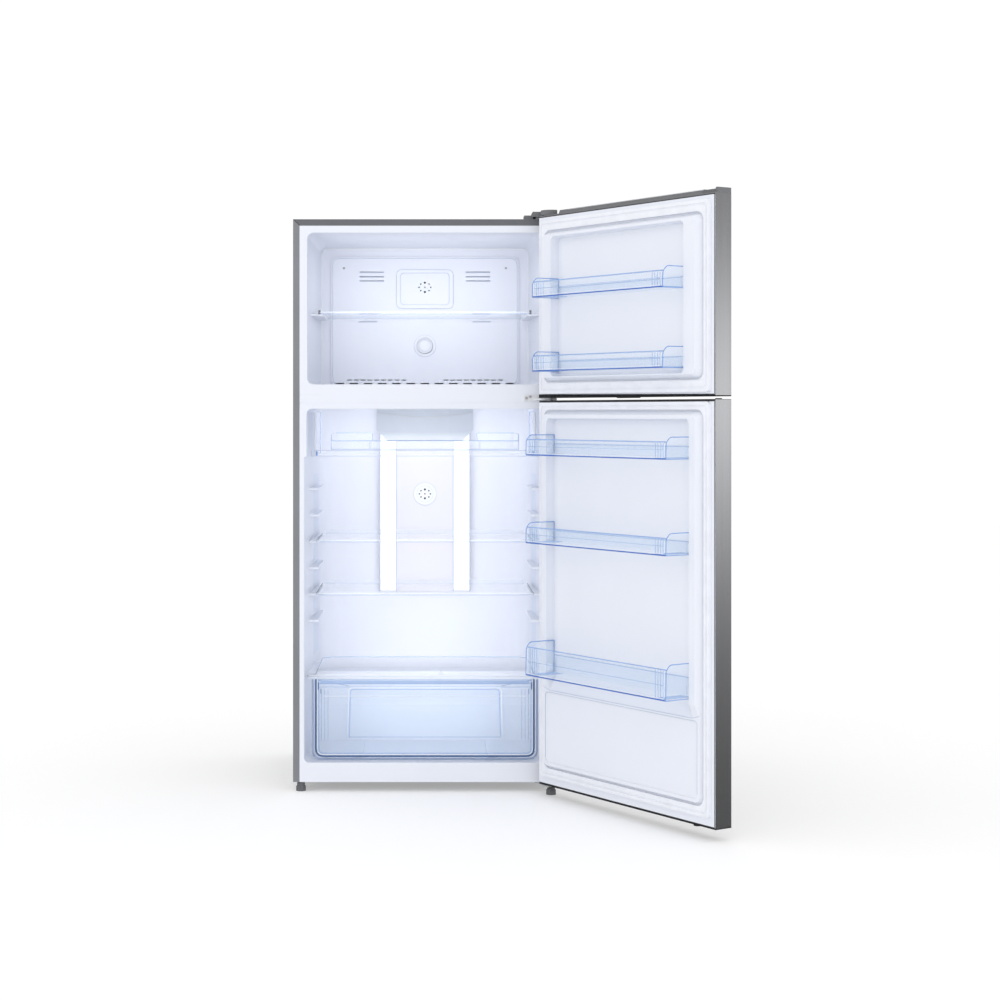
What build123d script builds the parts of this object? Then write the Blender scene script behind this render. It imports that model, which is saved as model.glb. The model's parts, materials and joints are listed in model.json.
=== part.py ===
from build123d import *
import os
from math import cos, pi, radians, sin

# Top freezer refrigerator, millimetres, +Z up.
# X = 0 is the middle of the cabinet's width, Y = 0 the middle of its depth, Z = 0 the floor.
# The front faces -Y.  Both doors stand open at rest, as when the inside is on show.

# ---------------------------------------------------------------- driving dimensions
WIDTH = 790.0
DEPTH = 660.0
BODY_BOTTOM = 28.0
BODY_TOP = 1714.0
SHEET = 1.0                 # steel of the cabinet and the door skins
LINER = 2.0                 # plastic liner wall
FRONT = -DEPTH / 2          # Y of the cabinet's front plane; depths are counted back from it

STEEL_FLANGE = 19.5         # grey return of the cabinet sheet around the front
FREEZER_Z = (1219.0, 1674.0)
FREEZER_HALF = 353.0        # half width of the freezer mouth
FREEZER_DEPTH = 595.0
FRIDGE_Z = (86.0, 1146.0)
FRIDGE_HALF = 362.0
FRIDGE_UPPER_HALF = 355.0   # the mouth is a little narrower above the chiller shelf
FRIDGE_DEPTH = 545.0
DRAFT = 22.0                # each side wall leans in this much over the full depth
CORNER = 75.0               # vertical back corners of the fridge liner
COVER_DEPTH = 478.0         # front of the evaporator cover
STEP_DEPTH = 402.0          # the liner steps forward over the compressor
STEP_FOOT = 200.0            # its slope runs from here up to the step's top
STEP_TOP = 300.0

DOOR_HALF = 390.0
DOOR_THICK = 55.0
DOOR_GAP = 12.0             # room for the gasket between cabinet and door
PIVOT_X = 375.0
PIVOT_DEPTH = -44.0
OPEN_ANGLE = 123.2          # how far both doors stand open
PIN_R = 5.0
PIN_FIT = 0.05              # radial running clearance on every hinge pin and shaft
FREEZER_DOOR_Z = (1178.0, 1718.0)
FRIDGE_DOOR_Z = (33.0, 1170.7)
FREEZER_DYKE_Z = (1226.0, 1667.0)
FRIDGE_DYKE_Z = (92.0, 1140.0)
DYKE_HALF = 352.0           # outer foot of the raised rim on each door liner
DYKE_HIGH = 30.0
DOOR_INNER = -DOOR_GAP
DOOR_OUTER = DOOR_INNER - DOOR_THICK
CAP = 20.0                  # height of the plastic door end caps

SHELF_Z = (583.0, 745.0)    # glass tops in the fridge
SHELF_HALF = 334.0
FREEZER_SHELF_Z = 1441.0
CRISPER_COVER_Z = 343.0
GLASS = 4.0
CHILLER_Z = (1001.0, 1020.0)
CLEAR = 2.5                 # wall of the clear plastic mouldings

# name, door, half width, reach from the door's inner face, underside, height
BINS = (
    ("freezer_bin_upper", "freezer", 292.5, 100.0, 1468.0, 59.0),
    ("freezer_bin_lower", "freezer", 292.5, 100.0, 1253.5, 59.0),
    ("fridge_bin_upper", "fridge", 314.0, 107.0, 1010.0, 61.0),
    ("fridge_bin_middle", "fridge", 314.0, 107.0, 755.0, 61.0),
    ("fridge_bin_lower", "fridge", 314.0, 107.0, 371.0, 97.0),
)
LUG = (12.0, 26.0, 6.0)     # near and far distance from the door liner, and how far it stands out

nodes = {}


# ---------------------------------------------------------------- shape helpers
def block(x, d, z):
    """Box between two x values, two depths behind the front plane and two heights."""
    centre = ((x[0] + x[1]) / 2, FRONT + (d[0] + d[1]) / 2, (z[0] + z[1]) / 2)
    return Pos(*centre) * Box(x[1] - x[0], d[1] - d[0], z[1] - z[0])


def post(x, d, z, r):
    """Upright cylinder between two heights."""
    return Pos(x, FRONT + d, (z[0] + z[1]) / 2) * Cylinder(r, z[1] - z[0])


def bar_x(x, d, z, r):
    """Cylinder lying along X."""
    return Pos((x[0] + x[1]) / 2, FRONT + d, z) * Rot(0, 90, 0) * Cylinder(r, x[1] - x[0])


def bar_y(x, d, z, r):
    """Cylinder lying along Y."""
    return Pos(x, FRONT + (d[0] + d[1]) / 2, z) * Rot(90, 0, 0) * Cylinder(r, d[1] - d[0])


def prism_x(points, x, radius=0):
    """Outline of (depth, height) points, extruded from one x to another."""
    plane = Plane(origin=(x[0], FRONT, 0), x_dir=(0, 1, 0), z_dir=(1, 0, 0))
    outline = FilletPolyline(*points, radius=radius, close=True)
    return extrude(plane * make_face(outline), x[1] - x[0])


def prism_y(points, d, radius=0):
    """Outline of (x, height) points, extruded from one depth to another."""
    plane = Plane(origin=(0, FRONT + d[1], 0), x_dir=(1, 0, 0), z_dir=(0, -1, 0))
    outline = FilletPolyline(*points, radius=radius, close=True)
    return extrude(plane * make_face(outline), d[1] - d[0])


def prism_z(points, z, radius=0):
    """Outline of (x, depth) points, extruded from one height to another."""
    outline = FilletPolyline(*points, radius=radius, close=True)
    return extrude(Pos(0, FRONT, z[0]) * make_face(outline), z[1] - z[0])


def rounded(half, z, depth, radius):
    """Rounded rectangle standing at one depth, centred in x."""
    middle = (z[0] + z[1]) / 2
    plane = Plane(origin=(0, FRONT + depth, middle), x_dir=(1, 0, 0), z_dir=(0, -1, 0))
    return plane * RectangleRounded(2 * half, z[1] - z[0], radius)


def group(pieces):
    """Several separate solids kept in one node."""
    solids = []
    for piece in pieces:
        solids.extend(piece.solids())
    return Compound(children=solids)


def swing(shape):
    """Turn a piece drawn on the closed door to where the open door stands."""
    axis = Axis((PIVOT_X, FRONT + PIVOT_DEPTH, 0), (0, 0, 1))
    return shape.rotate(axis, OPEN_ANGLE)


def both_sides(make):
    """The same piece on the left and on the right."""
    return [make(-1), make(1)]


def span(a, b):
    """Two values in rising order."""
    return (min(a, b), max(a, b))


# ---------------------------------------------------------------- cabinet
def outer_shell():
    """One bent sheet: two sides and the top, with a narrow return around the front."""
    half = WIDTH / 2
    z = (BODY_BOTTOM, BODY_TOP)
    shell = block((-half, half), (0, DEPTH), z)
    inside = (-half + SHEET, half - SHEET)
    shell -= block(inside, (SHEET, DEPTH), (z[0], z[1] - SHEET))
    mouth = (-half + STEEL_FLANGE, half - STEEL_FLANGE)
    shell -= block(mouth, (0, SHEET), (z[0], z[1] - STEEL_FLANGE))
    return shell


NICHE_TOP = 252.0           # the machine space is open to the back below this
NICHE_HALF = 342.0


def rear_panel():
    """Back sheet with three shallow channels pressed in, cut out around the machine space."""
    half = WIDTH / 2 - SHEET
    z = (BODY_BOTTOM + 2, BODY_TOP - SHEET)
    panel = block((-half, half), (DEPTH - SHEET, DEPTH), z)
    for x in (-210.0, 0.0, 210.0):
        panel -= block((x - 45, x + 45), (DEPTH - 0.4, DEPTH), (NICHE_TOP + 120, z[1] - 120))
    return panel - block((-NICHE_HALF, NICHE_HALF), (DEPTH - 2, DEPTH + 1), (z[0], NICHE_TOP))


def freezer_cavity(grow):
    """The tapered hollow of the freezer, grown by the liner wall for its outside."""
    z = (FREEZER_Z[0] - grow, FREEZER_Z[1] + grow)
    back = (z[0], z[1] - 9)
    near = rounded(FREEZER_HALF + grow, z, 0, 20)
    far = rounded(FREEZER_HALF - DRAFT + grow, back, FREEZER_DEPTH + grow, 20)
    return loft([near, far], ruled=True)


def freezer_liner():
    """White vacuum-formed box with a flat flange around its mouth."""
    top = BODY_TOP - STEEL_FLANGE
    half = WIDTH / 2 - STEEL_FLANGE
    liner = block((-half, half), (0, LINER), (FREEZER_Z[0] - LINER, top))
    liner += freezer_cavity(LINER)
    liner -= freezer_cavity(0)
    for side in (-1, 1):
        x = span(side * (FREEZER_SHELF_HALF + 0.5 - 10), side * (FREEZER_HALF - 5))
        z = FREEZER_SHELF_Z - GLASS
        liner += block(x, (122, 450), (z - 6.2, z - 0.2)) & freezer_cavity(LINER / 2)
    liner -= bar_y(0, (FREEZER_DEPTH - 1, FREEZER_DEPTH + 4), 1235, 6)
    return liner


def fridge_cavity(grow):
    """Hollow of the fridge: leaning walls, wide rounded back corners, a step at the bottom."""
    z = (FRIDGE_Z[0] - grow, FRIDGE_Z[1] + grow)
    half = FRIDGE_HALF + grow
    deep = FRIDGE_DEPTH + grow
    near = rounded(half, z, 0, 15)
    far = rounded(half - DRAFT, z, deep, 15)
    hollow = loft([near, far], ruled=True)
    plan = [(-half, 0), (half, 0), (half - DRAFT, deep), (DRAFT - half, deep)]
    hollow &= prism_z(plan, z, radius=[0, 0, CORNER, CORNER])
    step = STEP_DEPTH + grow
    rise = [(step, z[0] - 5), (step, STEP_FOOT - grow), (step + 50, STEP_TOP - grow)]
    rise += [(deep + 5, STEP_TOP - grow), (deep + 5, z[0] - 5)]
    return hollow - prism_x(rise, (-half, half))


MOUTH_CORNER = 15.0         # rounding of the fridge mouth's upper corners
LEDGE_Z = (502.0, SHELF_Z[0], 664.0, SHELF_Z[1], 826.0, 907.0)


def fridge_liner():
    """White liner with its mouth flange, shelf ledges, drawer runners and the front plinth."""
    half = WIDTH / 2 - STEEL_FLANGE
    liner = block((-half, half), (0, LINER), (BODY_BOTTOM, FRIDGE_Z[1] + LINER))
    liner += fridge_cavity(LINER)
    hollow = fridge_cavity(0)
    above = (CHILLER_Z[0] + 1, FRIDGE_Z[1] + 1)
    for side in (-1, 1):
        x = span(side * FRIDGE_UPPER_HALF, side * (FRIDGE_HALF + 1))
        hollow -= block(x, (-1, 120), above)
        inner = side * (FRIDGE_UPPER_HALF - MOUTH_CORNER)
        low = FRIDGE_Z[1] - MOUTH_CORNER
        corner = block(span(inner, side * (FRIDGE_HALF + 1)), (-1, 120), (low, FRIDGE_Z[1] + 1))
        hollow -= corner - bar_y(inner, (-2, 121), low, MOUTH_CORNER)
    liner -= hollow
    room = fridge_cavity(LINER / 2)
    for side in (-1, 1):
        for level in LEDGE_Z:
            top = level - GLASS - 0.2
            x = span(side * 327, side * FRIDGE_HALF)
            liner += block(x, (150, 440), (top - 6, top)) & room
        top = CRISPER_COVER_Z - GLASS - 0.2
        x = span(side * 333, side * FRIDGE_HALF)
        liner += block(x, (60, 390), (top - 5, top)) & room
        x = span(side * 190, side * 210)
        liner += block(x, (60, 340), (FRIDGE_Z[0] - 1, DRAWER_Z[0] - 0.3))
    return liner


def cabinet_foam():
    """Rigid foam between sheet and liners, as the slabs it forms around the two hollows."""
    edge = WIDTH / 2 - SHEET
    inner = FRIDGE_HALF + LINER + 0.5
    lean = DRAFT / FRIDGE_DEPTH
    back = DEPTH - SHEET
    slabs = []
    low = (BODY_BOTTOM + 2, FRIDGE_Z[1] + LINER)
    for side in (-1, 1):
        wall = [(side * edge, LINER), (side * inner, LINER)]
        wall += [(side * (inner - lean * FRIDGE_DEPTH), FRIDGE_DEPTH + LINER + 0.5)]
        wall += [(side * (inner - lean * FRIDGE_DEPTH), back), (side * edge, back)]
        slabs.append(prism_z(wall, low))
        freezer = FREEZER_HALF + LINER + 0.5
        wall = [(side * edge, LINER), (side * freezer, LINER)]
        wall += [(side * (freezer - DRAFT), FREEZER_DEPTH + LINER + 0.5)]
        wall += [(side * (freezer - DRAFT), back), (side * edge, back)]
        slabs.append(prism_z(wall, (FREEZER_Z[0] - LINER, FREEZER_Z[1] + LINER + 0.5)))
        tip = side * (inner - DRAFT - 0.6)
        reach = FRIDGE_DEPTH + LINER
        leg = 40.0
        wedge = [(tip, reach), (tip - side * leg, reach), (tip, reach - leg)]
        slabs.append(prism_z(wedge, (STEP_TOP + 8, FRIDGE_Z[1] - 2)))
    inside = (-inner + DRAFT, inner - DRAFT)
    upper = (-freezer + DRAFT, freezer - DRAFT)
    slabs.append(block(inside, (FRIDGE_DEPTH + LINER + 0.5, back), (STEP_TOP, low[1])))
    slabs.append(
        block(upper, (FREEZER_DEPTH + LINER + 0.5, back), (FREEZER_Z[0] - LINER, FREEZER_Z[1] + 2.5))
    )
    slabs.append(block((-edge, edge), (LINER, back), (FREEZER_Z[1] + 2.5, BODY_TOP - SHEET)))
    slabs.append(block((-edge, edge), (LINER, back), (low[1], FREEZER_Z[0] - LINER)))
    slabs.append(block(inside, (LINER, STEP_DEPTH), (low[0], FRIDGE_Z[0] - LINER - 0.5)))
    step = STEP_DEPTH
    top = STEP_TOP - LINER - 0.5
    rise = [(step, low[0]), (step, STEP_FOOT - LINER - 1), (step + 50, top), (back, top)]
    rise += [(back, NICHE_TOP), (step + 80, NICHE_TOP), (step + 40, low[0])]
    shift = LINER + 0.5
    rise = [(d + shift if d < back else d, z) for d, z in rise]
    slabs.append(prism_x(rise, inside))
    return group(slabs)


def mullion_front():
    """White beam cover between the two mouths, with a groove and a small cover plate."""
    half = WIDTH / 2 - STEEL_FLANGE
    z = (FRIDGE_Z[1] + LINER, FREEZER_Z[0] - LINER)
    beam = block((-half, half), (0, LINER), z)
    beam -= block((-half, half), (0, 0.8), (1158, 1165))
    beam -= block((-half + 0.5, -half + 74), (0, 0.5), (1187, 1187.8))
    return beam


# ---------------------------------------------------------------- freezer inside
FREEZER_SHELF_HALF = 323.0
FRAME_DEPTH = COVER_DEPTH - 6
DIAL_Z = 1350.5
VENT_Z = 1540.0
LOUVRE_X = 172.0


def vent_holes(x, z, d, ring, count=8):
    """Ring of small round air holes around one in the middle."""
    holes = [bar_y(x, d, z, 2.2)]
    for k in range(count):
        turn = 2 * pi * k / count
        size = 3.4 if k in (2, 6) else 2.4
        holes.append(bar_y(x + ring * cos(turn), d, z + 0.8 * ring * sin(turn), size))
    return holes


def evaporator_cover():
    """White panel over the evaporator: louvres, fan vent, lower slots and return slots."""
    half = FREEZER_HALF - DRAFT * COVER_DEPTH / FREEZER_DEPTH - 1.0
    z = (FREEZER_Z[0] + 0.5, FREEZER_Z[1] - 9)
    cover = extrude(rounded(half, z, COVER_DEPTH + 3, 19), 3)
    frame_z = (z[0], 1639.0)
    cover += extrude(rounded(304, frame_z, COVER_DEPTH, 25), COVER_DEPTH - FRAME_DEPTH)
    cover -= extrude(rounded(298, (z[0] + 5, 1633.0), COVER_DEPTH + 1, 22), 3)
    depth = (FRAME_DEPTH - 5, COVER_DEPTH + 10)
    cover += extrude(rounded(91, (1471.6, 1596.0), FRAME_DEPTH + 0.5, 16), 5)
    cover -= extrude(rounded(79.5, (1483.0, 1587.0), FRAME_DEPTH - 2, 12), 4)
    for hole in vent_holes(0, VENT_Z, depth, 19):
        cover -= hole
    for side in (-1, 1):
        x = (side * LOUVRE_X - 39.5, side * LOUVRE_X + 39.5)
        for level in (1588.6, 1574.0, 1560.0):
            cover -= block(x, depth, (level - 2.2, level + 2.2))
        x = (side * 183.5 - 29.5, side * 183.5 + 29.5)
        for level in (1454.0, 1428.5):
            cover -= block(x, depth, (level - 2, level + 2))
        for k in range(9):
            x = side * (68 + 22 * k)
            cover -= block((x - 8, x + 8), depth, (1238.5, 1241.5))
        cover -= bar_y(side * 262, (FRAME_DEPTH - 1, COVER_DEPTH), 1602, 4)
    for k in range(-6, 7):
        x = 46 * k
        cover -= block((x - 14, x + 14), depth, (1226.5, 1230.5))
    cover += bar_y(0, (FRAME_DEPTH - 3, COVER_DEPTH + 1), DIAL_Z, 34.5)
    cover -= bar_y(0, (FRAME_DEPTH - 4, COVER_DEPTH + 2), DIAL_Z, 26.0)
    cover += bar_y(0, (COVER_DEPTH, COVER_DEPTH + 3), DIAL_Z, 27)
    cover -= bar_y(0, (COVER_DEPTH - 1, COVER_DEPTH + 4), DIAL_Z, 6 + PIN_FIT)
    return cover


def temperature_dial():
    """Round freezer dial with a raised finger bar and a short shaft through the cover."""
    dial = bar_y(0, (FRAME_DEPTH - 9, COVER_DEPTH - 0.5), DIAL_Z, 24.5)
    dial -= bar_y(0, (FRAME_DEPTH - 10, FRAME_DEPTH - 4), DIAL_Z, 20.5)
    dial += bar_y(0, (FRAME_DEPTH - 9, FRAME_DEPTH - 3), DIAL_Z, 17.5)
    dial += bar_y(0, (COVER_DEPTH - 1, COVER_DEPTH + 14), DIAL_Z, 6)
    dial -= block((-1.2, 1.2), (FRAME_DEPTH - 10, FRAME_DEPTH - 8), (DIAL_Z + 4, DIAL_Z + 16))
    return dial


def evaporator():
    """Finned coil: a serpentine tube through a row of thin aluminium plates."""
    depths = (515.0, 545.0)
    rows = [1300.0 + 27 * k for k in range(5)]
    half = 255.0
    fins = []
    tubes = []
    for k in range(-16, 17):
        x = 14.5 * k
        fins.append(block((x - 0.4, x + 0.4), (502, 560), (1285, 1423)))
    for depth in depths:
        for level in rows:
            tubes.append(bar_x((-half, half), depth, level, 4))
    coil = tubes[0]
    for piece in tubes[1:] + fins:
        coil += piece
    for index in range(len(rows) - 1):
        side = 1 if index % 2 == 0 else -1
        x = span(side * (half - 6), side * half)
        for depth in depths:
            coil += block(x, (depth - 3, depth + 3), (rows[index], rows[index + 1]))
    coil += block((half - 6, half), (depths[0], depths[1]), (rows[-1] - 3, rows[-1] + 3))
    return coil


FAN_DEPTH = (497.0, 515.0)


def fan_motor():
    """Shaded-pole motor on a cross bracket behind the vent, with its shaft forward."""
    motor = bar_y(0, (528, 560), VENT_Z, 27)
    motor += block((-95, 95), (560, 563), (VENT_Z - 8, VENT_Z + 8))
    motor += bar_y(0, (FAN_DEPTH[0], 530), VENT_Z, 3)
    for side in (-1, 1):
        motor += block(span(side * 83, side * 95), (563, 594.5), (VENT_Z - 8, VENT_Z + 8))
    return motor


def evaporator_fan():
    """Five-bladed impeller on the motor shaft."""
    hub_z = (FAN_DEPTH[0] + 1, FAN_DEPTH[1])
    fan = bar_y(0, hub_z, VENT_Z, 14)
    blade = Pos(28, FRONT + 506.5, VENT_Z) * Rot(32, 0, 0) * Box(34, 2, 18)
    axis = Axis((0, FRONT, VENT_Z), (0, 1, 0))
    for k in range(5):
        fan += blade.rotate(axis, 72 * k)
    return fan - bar_y(0, (FAN_DEPTH[0] - 5, FAN_DEPTH[1] + 5), VENT_Z, 3 + PIN_FIT)


# ---------------------------------------------------------------- fridge inside
DUCT_HALF = 149.0
DUCT_Z = (552.0, 1144.0)
DUCT_DEPTH = 515.0


def duct_cover():
    """Air duct column on the back wall, with slots for two lights and a seat for the vent."""
    back = FRIDGE_DEPTH - 0.5
    duct = block((-DUCT_HALF, DUCT_HALF), (DUCT_DEPTH, back), DUCT_Z)
    duct -= block((-DUCT_HALF + 3, DUCT_HALF - 3), (DUCT_DEPTH + 3, back), (555, DUCT_Z[1] - 3))
    for x in LIGHT_X:
        duct -= block(x, (DUCT_DEPTH - 1, DUCT_DEPTH + 4), LIGHT_Z)
    duct -= bar_y(0, (DUCT_DEPTH - 1, DUCT_DEPTH + 4), DUCT_VENT_Z, 32)
    return duct


LIGHT_X = ((-145.0, -93.0), (93.0, 145.0))
LIGHT_Z = (557.0, 1140.0)
DUCT_VENT_Z = 870.0


def light_strips():
    """Two tall frosted light covers set flush in the duct column."""
    strips = []
    for x in LIGHT_X:
        inset = (x[0] + 0.3, x[1] - 0.3)
        strips.append(block(inset, (DUCT_DEPTH + 0.4, DUCT_DEPTH + 3), (LIGHT_Z[0] + 0.3, LIGHT_Z[1] - 0.3)))
    return group(strips)


def duct_vent():
    """Round air outlet disc with a ring of holes."""
    disc = bar_y(0, (DUCT_DEPTH - 3, DUCT_DEPTH), DUCT_VENT_Z, 37)
    disc += bar_y(0, (DUCT_DEPTH, DUCT_DEPTH + 3), DUCT_VENT_Z, 31.5)
    disc -= bar_y(0, (DUCT_DEPTH - 4, DUCT_DEPTH - 1.5), DUCT_VENT_Z, 27)
    for hole in vent_holes(0, DUCT_VENT_Z, (DUCT_DEPTH - 4, DUCT_DEPTH + 4), 18):
        disc -= hole
    return disc


LAMP_Z = (1048.0, 1145.5)


def lamp_cover():
    """Frosted lamp housing under the ceiling, bowed at the front, with clipped lower corners."""
    bow = [(-150, 0), (-150, -42), (-75, -62), (0, -68), (75, -62), (150, -42), (150, 0)]
    depth = 262.0
    plan = [(x, depth + d) for x, d in bow]
    body = prism_z(plan, LAMP_Z)
    face = [(-150, LAMP_Z[1]), (-150, 1080), (-118, LAMP_Z[0]), (118, LAMP_Z[0])]
    face += [(150, 1080), (150, LAMP_Z[1])]
    body &= prism_y(face, (150, 300), radius=[0, 8, 8, 8, 8, 0])
    plan = [(x * 0.975, depth + d * 0.94 - 3) for x, d in bow]
    hollow = prism_z(plan, (LAMP_Z[0] + 3, LAMP_Z[1] + 1))
    face = [(x * 0.975, z + 3 if z < 1100 else z + 1) for x, z in face]
    return body - (hollow & prism_y(face, (150, 300), radius=[0, 8, 8, 8, 8, 0]))


def chiller_brackets():
    """Clear side brackets that carry the chiller shelf, one on each wall."""
    def one(side):
        bracket = block(span(side * 333.5, side * 336), (112, 420), (CHILLER_Z[0], 1138))
        bracket += block(span(side * 318, side * 336), (112, 420), (CHILLER_Z[0], CHILLER_Z[0] + 3))
        bracket += block(span(side * 333, side * 338), (106, 116), (CHILLER_Z[0], 1138))
        return bracket
    return group(both_sides(one))


def chiller_shelf():
    """Clear full-width shelf under the chiller tray, with a deep front edge."""
    z = CHILLER_Z
    shelf = block((-332, 332), (118, 440), (z[0] + 3.2, z[0] + 6.2))
    shelf += block((-332, 332), (112.5, 118), (z[0] + 3.2, z[1]))
    shelf += block((-346, 346), (100, 105.5), (z[0], z[1]))
    shelf += block((-331, 331), (105, 113), (z[0] + 3.2, z[1]))
    return shelf


TRAY_Z = (1021.0, 1070.0)
TRAY_HALF = 287.0
TRAY_DEPTH = (112.0, 440.0)


def chiller_tray():
    """Clear pull-out tray, its back wall cut low to pass under the lamp housing."""
    d = TRAY_DEPTH
    tray = block((-TRAY_HALF, TRAY_HALF), d, TRAY_Z)
    inside = (-TRAY_HALF + CLEAR, TRAY_HALF - CLEAR)
    tray -= block(inside, (d[0] + CLEAR, d[1] - CLEAR), (TRAY_Z[0] + CLEAR, TRAY_Z[1] + 1))
    tray -= block((-168, 168), (d[1] - 5, d[1] + 1), (1043, TRAY_Z[1] + 1))
    tray -= block((-TRAY_HALF - 1, TRAY_HALF + 1), (d[0] - 1, d[0] + 5), (1049, TRAY_Z[1] + 1))
    for x in (-168.0, 168.0):
        tray += block((x - 1.2, x + 1.2), (d[0] + 1, d[1] - 1), (TRAY_Z[0] + 1, 1043))
    return tray


def shelf_glass(half, d, top):
    """Tempered glass plate with small rounded corners."""
    points = [(-half, d[0]), (half, d[0]), (half, d[1]), (-half, d[1])]
    return prism_z(points, (top - GLASS, top), radius=6)


def shelf_trim(half, d, top):
    """Front and rear plastic edges that grip the glass in a groove."""
    glass = shelf_glass(half, d, top)
    front = block((-half - 1.5, half + 1.5), (d[0] - 5, d[0] + 9), (top - GLASS - 3, top + 2))
    rear = block((-half + 12, half - 12), (d[1] - 8, d[1] + 4), (top - GLASS - 2, top + 10))
    rear -= block((-half, half), (d[1] - 9, d[1]), (top, top + 12))
    return group([front - glass, rear - glass])


def crisper_cover_glass():
    """Glass over the drawer, notched where the side walls step in."""
    half = 331.0
    points = [(-354, 34), (354, 34), (354, 58), (half, 66), (half, 470), (300, 498)]
    points += [(-300, 498), (-half, 470), (-half, 66), (-354, 58)]
    return prism_z(points, (CRISPER_COVER_Z - GLASS, CRISPER_COVER_Z))


def crisper_cover_frame():
    """White front edge of the drawer cover, with the humidity slot and its guide."""
    z = CRISPER_COVER_Z
    frame = block((-356, 356), (28, 44), (z - 9, z + 4))
    frame -= crisper_cover_glass()
    return frame - block((20, 77), (33, 39), (z + 1, z + 5))


SLIDER_X = 48.5


def humidity_slider():
    """Small clear slider on the drawer cover's front edge."""
    z = CRISPER_COVER_Z
    slider = block((SLIDER_X - 6, SLIDER_X + 6), (33.3, 38.7), (z + 1.3, z + 5))
    slider += block((SLIDER_X - 9, SLIDER_X + 9), (30, 42), (z + 4.3, z + 8))
    return slider + block((SLIDER_X - 2, SLIDER_X + 2), (32, 40), (z + 8, z + 14))


DRAWER_Z = (97.0, 333.0)
DRAWER_DEPTH = (35.0, 380.0)


def drawer_shape(inset, lift):
    """Tapered outline of the drawer, from its wide front to its small back."""
    low = DRAWER_Z[0] + inset
    near_z = (low, DRAWER_Z[1] + lift)
    far_z = (low, 272 + lift)
    near = rounded(331 - inset, near_z, DRAWER_DEPTH[0] + inset, 18)
    far = rounded(247 - inset, far_z, DRAWER_DEPTH[1] - inset, 24)
    return loft([near, far], ruled=True)


def crisper_drawer():
    """Clear blue drawer with a rim, a full-width grip and stiffening ribs inside."""
    drawer = drawer_shape(0, 26)
    drawer -= drawer_shape(CLEAR + 0.5, 60)
    slope = [(0, DRAWER_Z[1]), (DRAWER_DEPTH[0] + 6, DRAWER_Z[1]), (400, 268), (400, 420), (0, 420)]
    drawer -= prism_x(slope, (-400, 400))
    front = DRAWER_DEPTH[0]
    grip = [(front + 1, 272), (front + 1, 282), (front - 8, 282), (front - 8, 278), (front - 3, 276)]
    drawer += prism_x(grip, (-305, 305))
    for x in (-150.0, 0.0, 150.0):
        drawer += block((x - 1, x + 1), (front + 2, DRAWER_DEPTH[1] - 2), (DRAWER_Z[0] + 2, DRAWER_Z[0] + 6))
    return drawer


# ---------------------------------------------------------------- machine space and underside
ROLLER_X = 345.0
ROLLER_DEPTH = 620.0
ROLLER_R = 14.0


def base_frame():
    """Pressed steel floor, compressor plate and the ears that hold the rear rollers."""
    half = WIDTH / 2 - SHEET - 0.3
    frame = block((-half, half), (LINER, STEP_DEPTH + 60), (BODY_BOTTOM, BODY_BOTTOM + 2))
    frame += block((-half, half), (STEP_DEPTH + 58, DEPTH - 4), (BODY_BOTTOM, BODY_BOTTOM + 1.8))
    for side in (-1, 1):
        for offset in (-12.0, 12.0):
            x = side * ROLLER_X + offset
            ear = block((x - 1.5, x + 1.5), (ROLLER_DEPTH - 12, ROLLER_DEPTH + 12), (9, BODY_BOTTOM + 1))
            frame += ear
        x = (side * ROLLER_X - 10.2, side * ROLLER_X + 10.2)
        slot = (ROLLER_DEPTH - 17, ROLLER_DEPTH + 17)
        frame -= block(x, slot, (BODY_BOTTOM - 1, BODY_BOTTOM + 3))
        x = (side * ROLLER_X - 13.5, side * ROLLER_X + 13.5)
        frame += bar_x(x, ROLLER_DEPTH, ROLLER_R, 3)
    frame -= post(-FOOT_X, LEFT_FOOT_DEPTH, (BODY_BOTTOM - 1, BODY_BOTTOM + 3), 5 + PIN_FIT)
    return frame


def roller(side):
    """Nylon rear roller on its pin."""
    x = (side * ROLLER_X - 9.5, side * ROLLER_X + 9.5)
    wheel = bar_x(x, ROLLER_DEPTH, ROLLER_R, ROLLER_R)
    groove = (side * ROLLER_X - 1.5, side * ROLLER_X + 1.5)
    ring = bar_x(groove, ROLLER_DEPTH, ROLLER_R, ROLLER_R + 1)
    ring -= bar_x(groove, ROLLER_DEPTH, ROLLER_R, ROLLER_R - 1)
    wheel -= ring
    return wheel - bar_x((x[0] - 1, x[1] + 1), ROLLER_DEPTH, ROLLER_R, 3 + PIN_FIT)


FOOT_X = 372.0
LEFT_FOOT_DEPTH = 16.0


FOOT_R = 14.5
COLLAR_R = 11.8


def foot(x, depth, collar, top):
    """Levelling foot: a knurled disc under a round collar, and a stud up into its plate."""
    disc = post(x, depth, (0, 14), FOOT_R)
    ring = FOOT_R + 1
    for k in range(12):
        turn = radians(30 * k)
        disc -= post(x + ring * cos(turn), depth + ring * sin(turn), (2, 12), 2)
    disc += post(x, depth, (13, collar), COLLAR_R)
    return disc + post(x, depth, (collar - 1, top), 5)


COMPRESSOR_X = -120.0
COMPRESSOR_DEPTH = 565.0


def compressor():
    """Welded steel shell with a domed top, on a flat foot plate."""
    centre = (COMPRESSOR_X, FRONT + COMPRESSOR_DEPTH, 0)
    shell = Pos(centre[0], centre[1], 95) * Cylinder(72, 90)
    dome = Pos(centre[0], centre[1], 140) * Sphere(72)
    dome &= Pos(centre[0], centre[1], 165) * Box(160, 160, 50)
    belly = Pos(centre[0], centre[1], 60) * Box(130, 130, 32)
    foot_plate = Pos(centre[0], centre[1], 44) * Box(230, 120, 4)
    body = shell + dome + belly + foot_plate
    body += Pos(centre[0] + 78, centre[1], 110) * Box(30, 60, 55)
    for x, y in MOUNTS:
        body -= Pos(centre[0] + x, centre[1] + y, 44) * Cylinder(6.0, 10)
    for pipe in refrigerant_pipes():
        body += pipe
    return body


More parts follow.
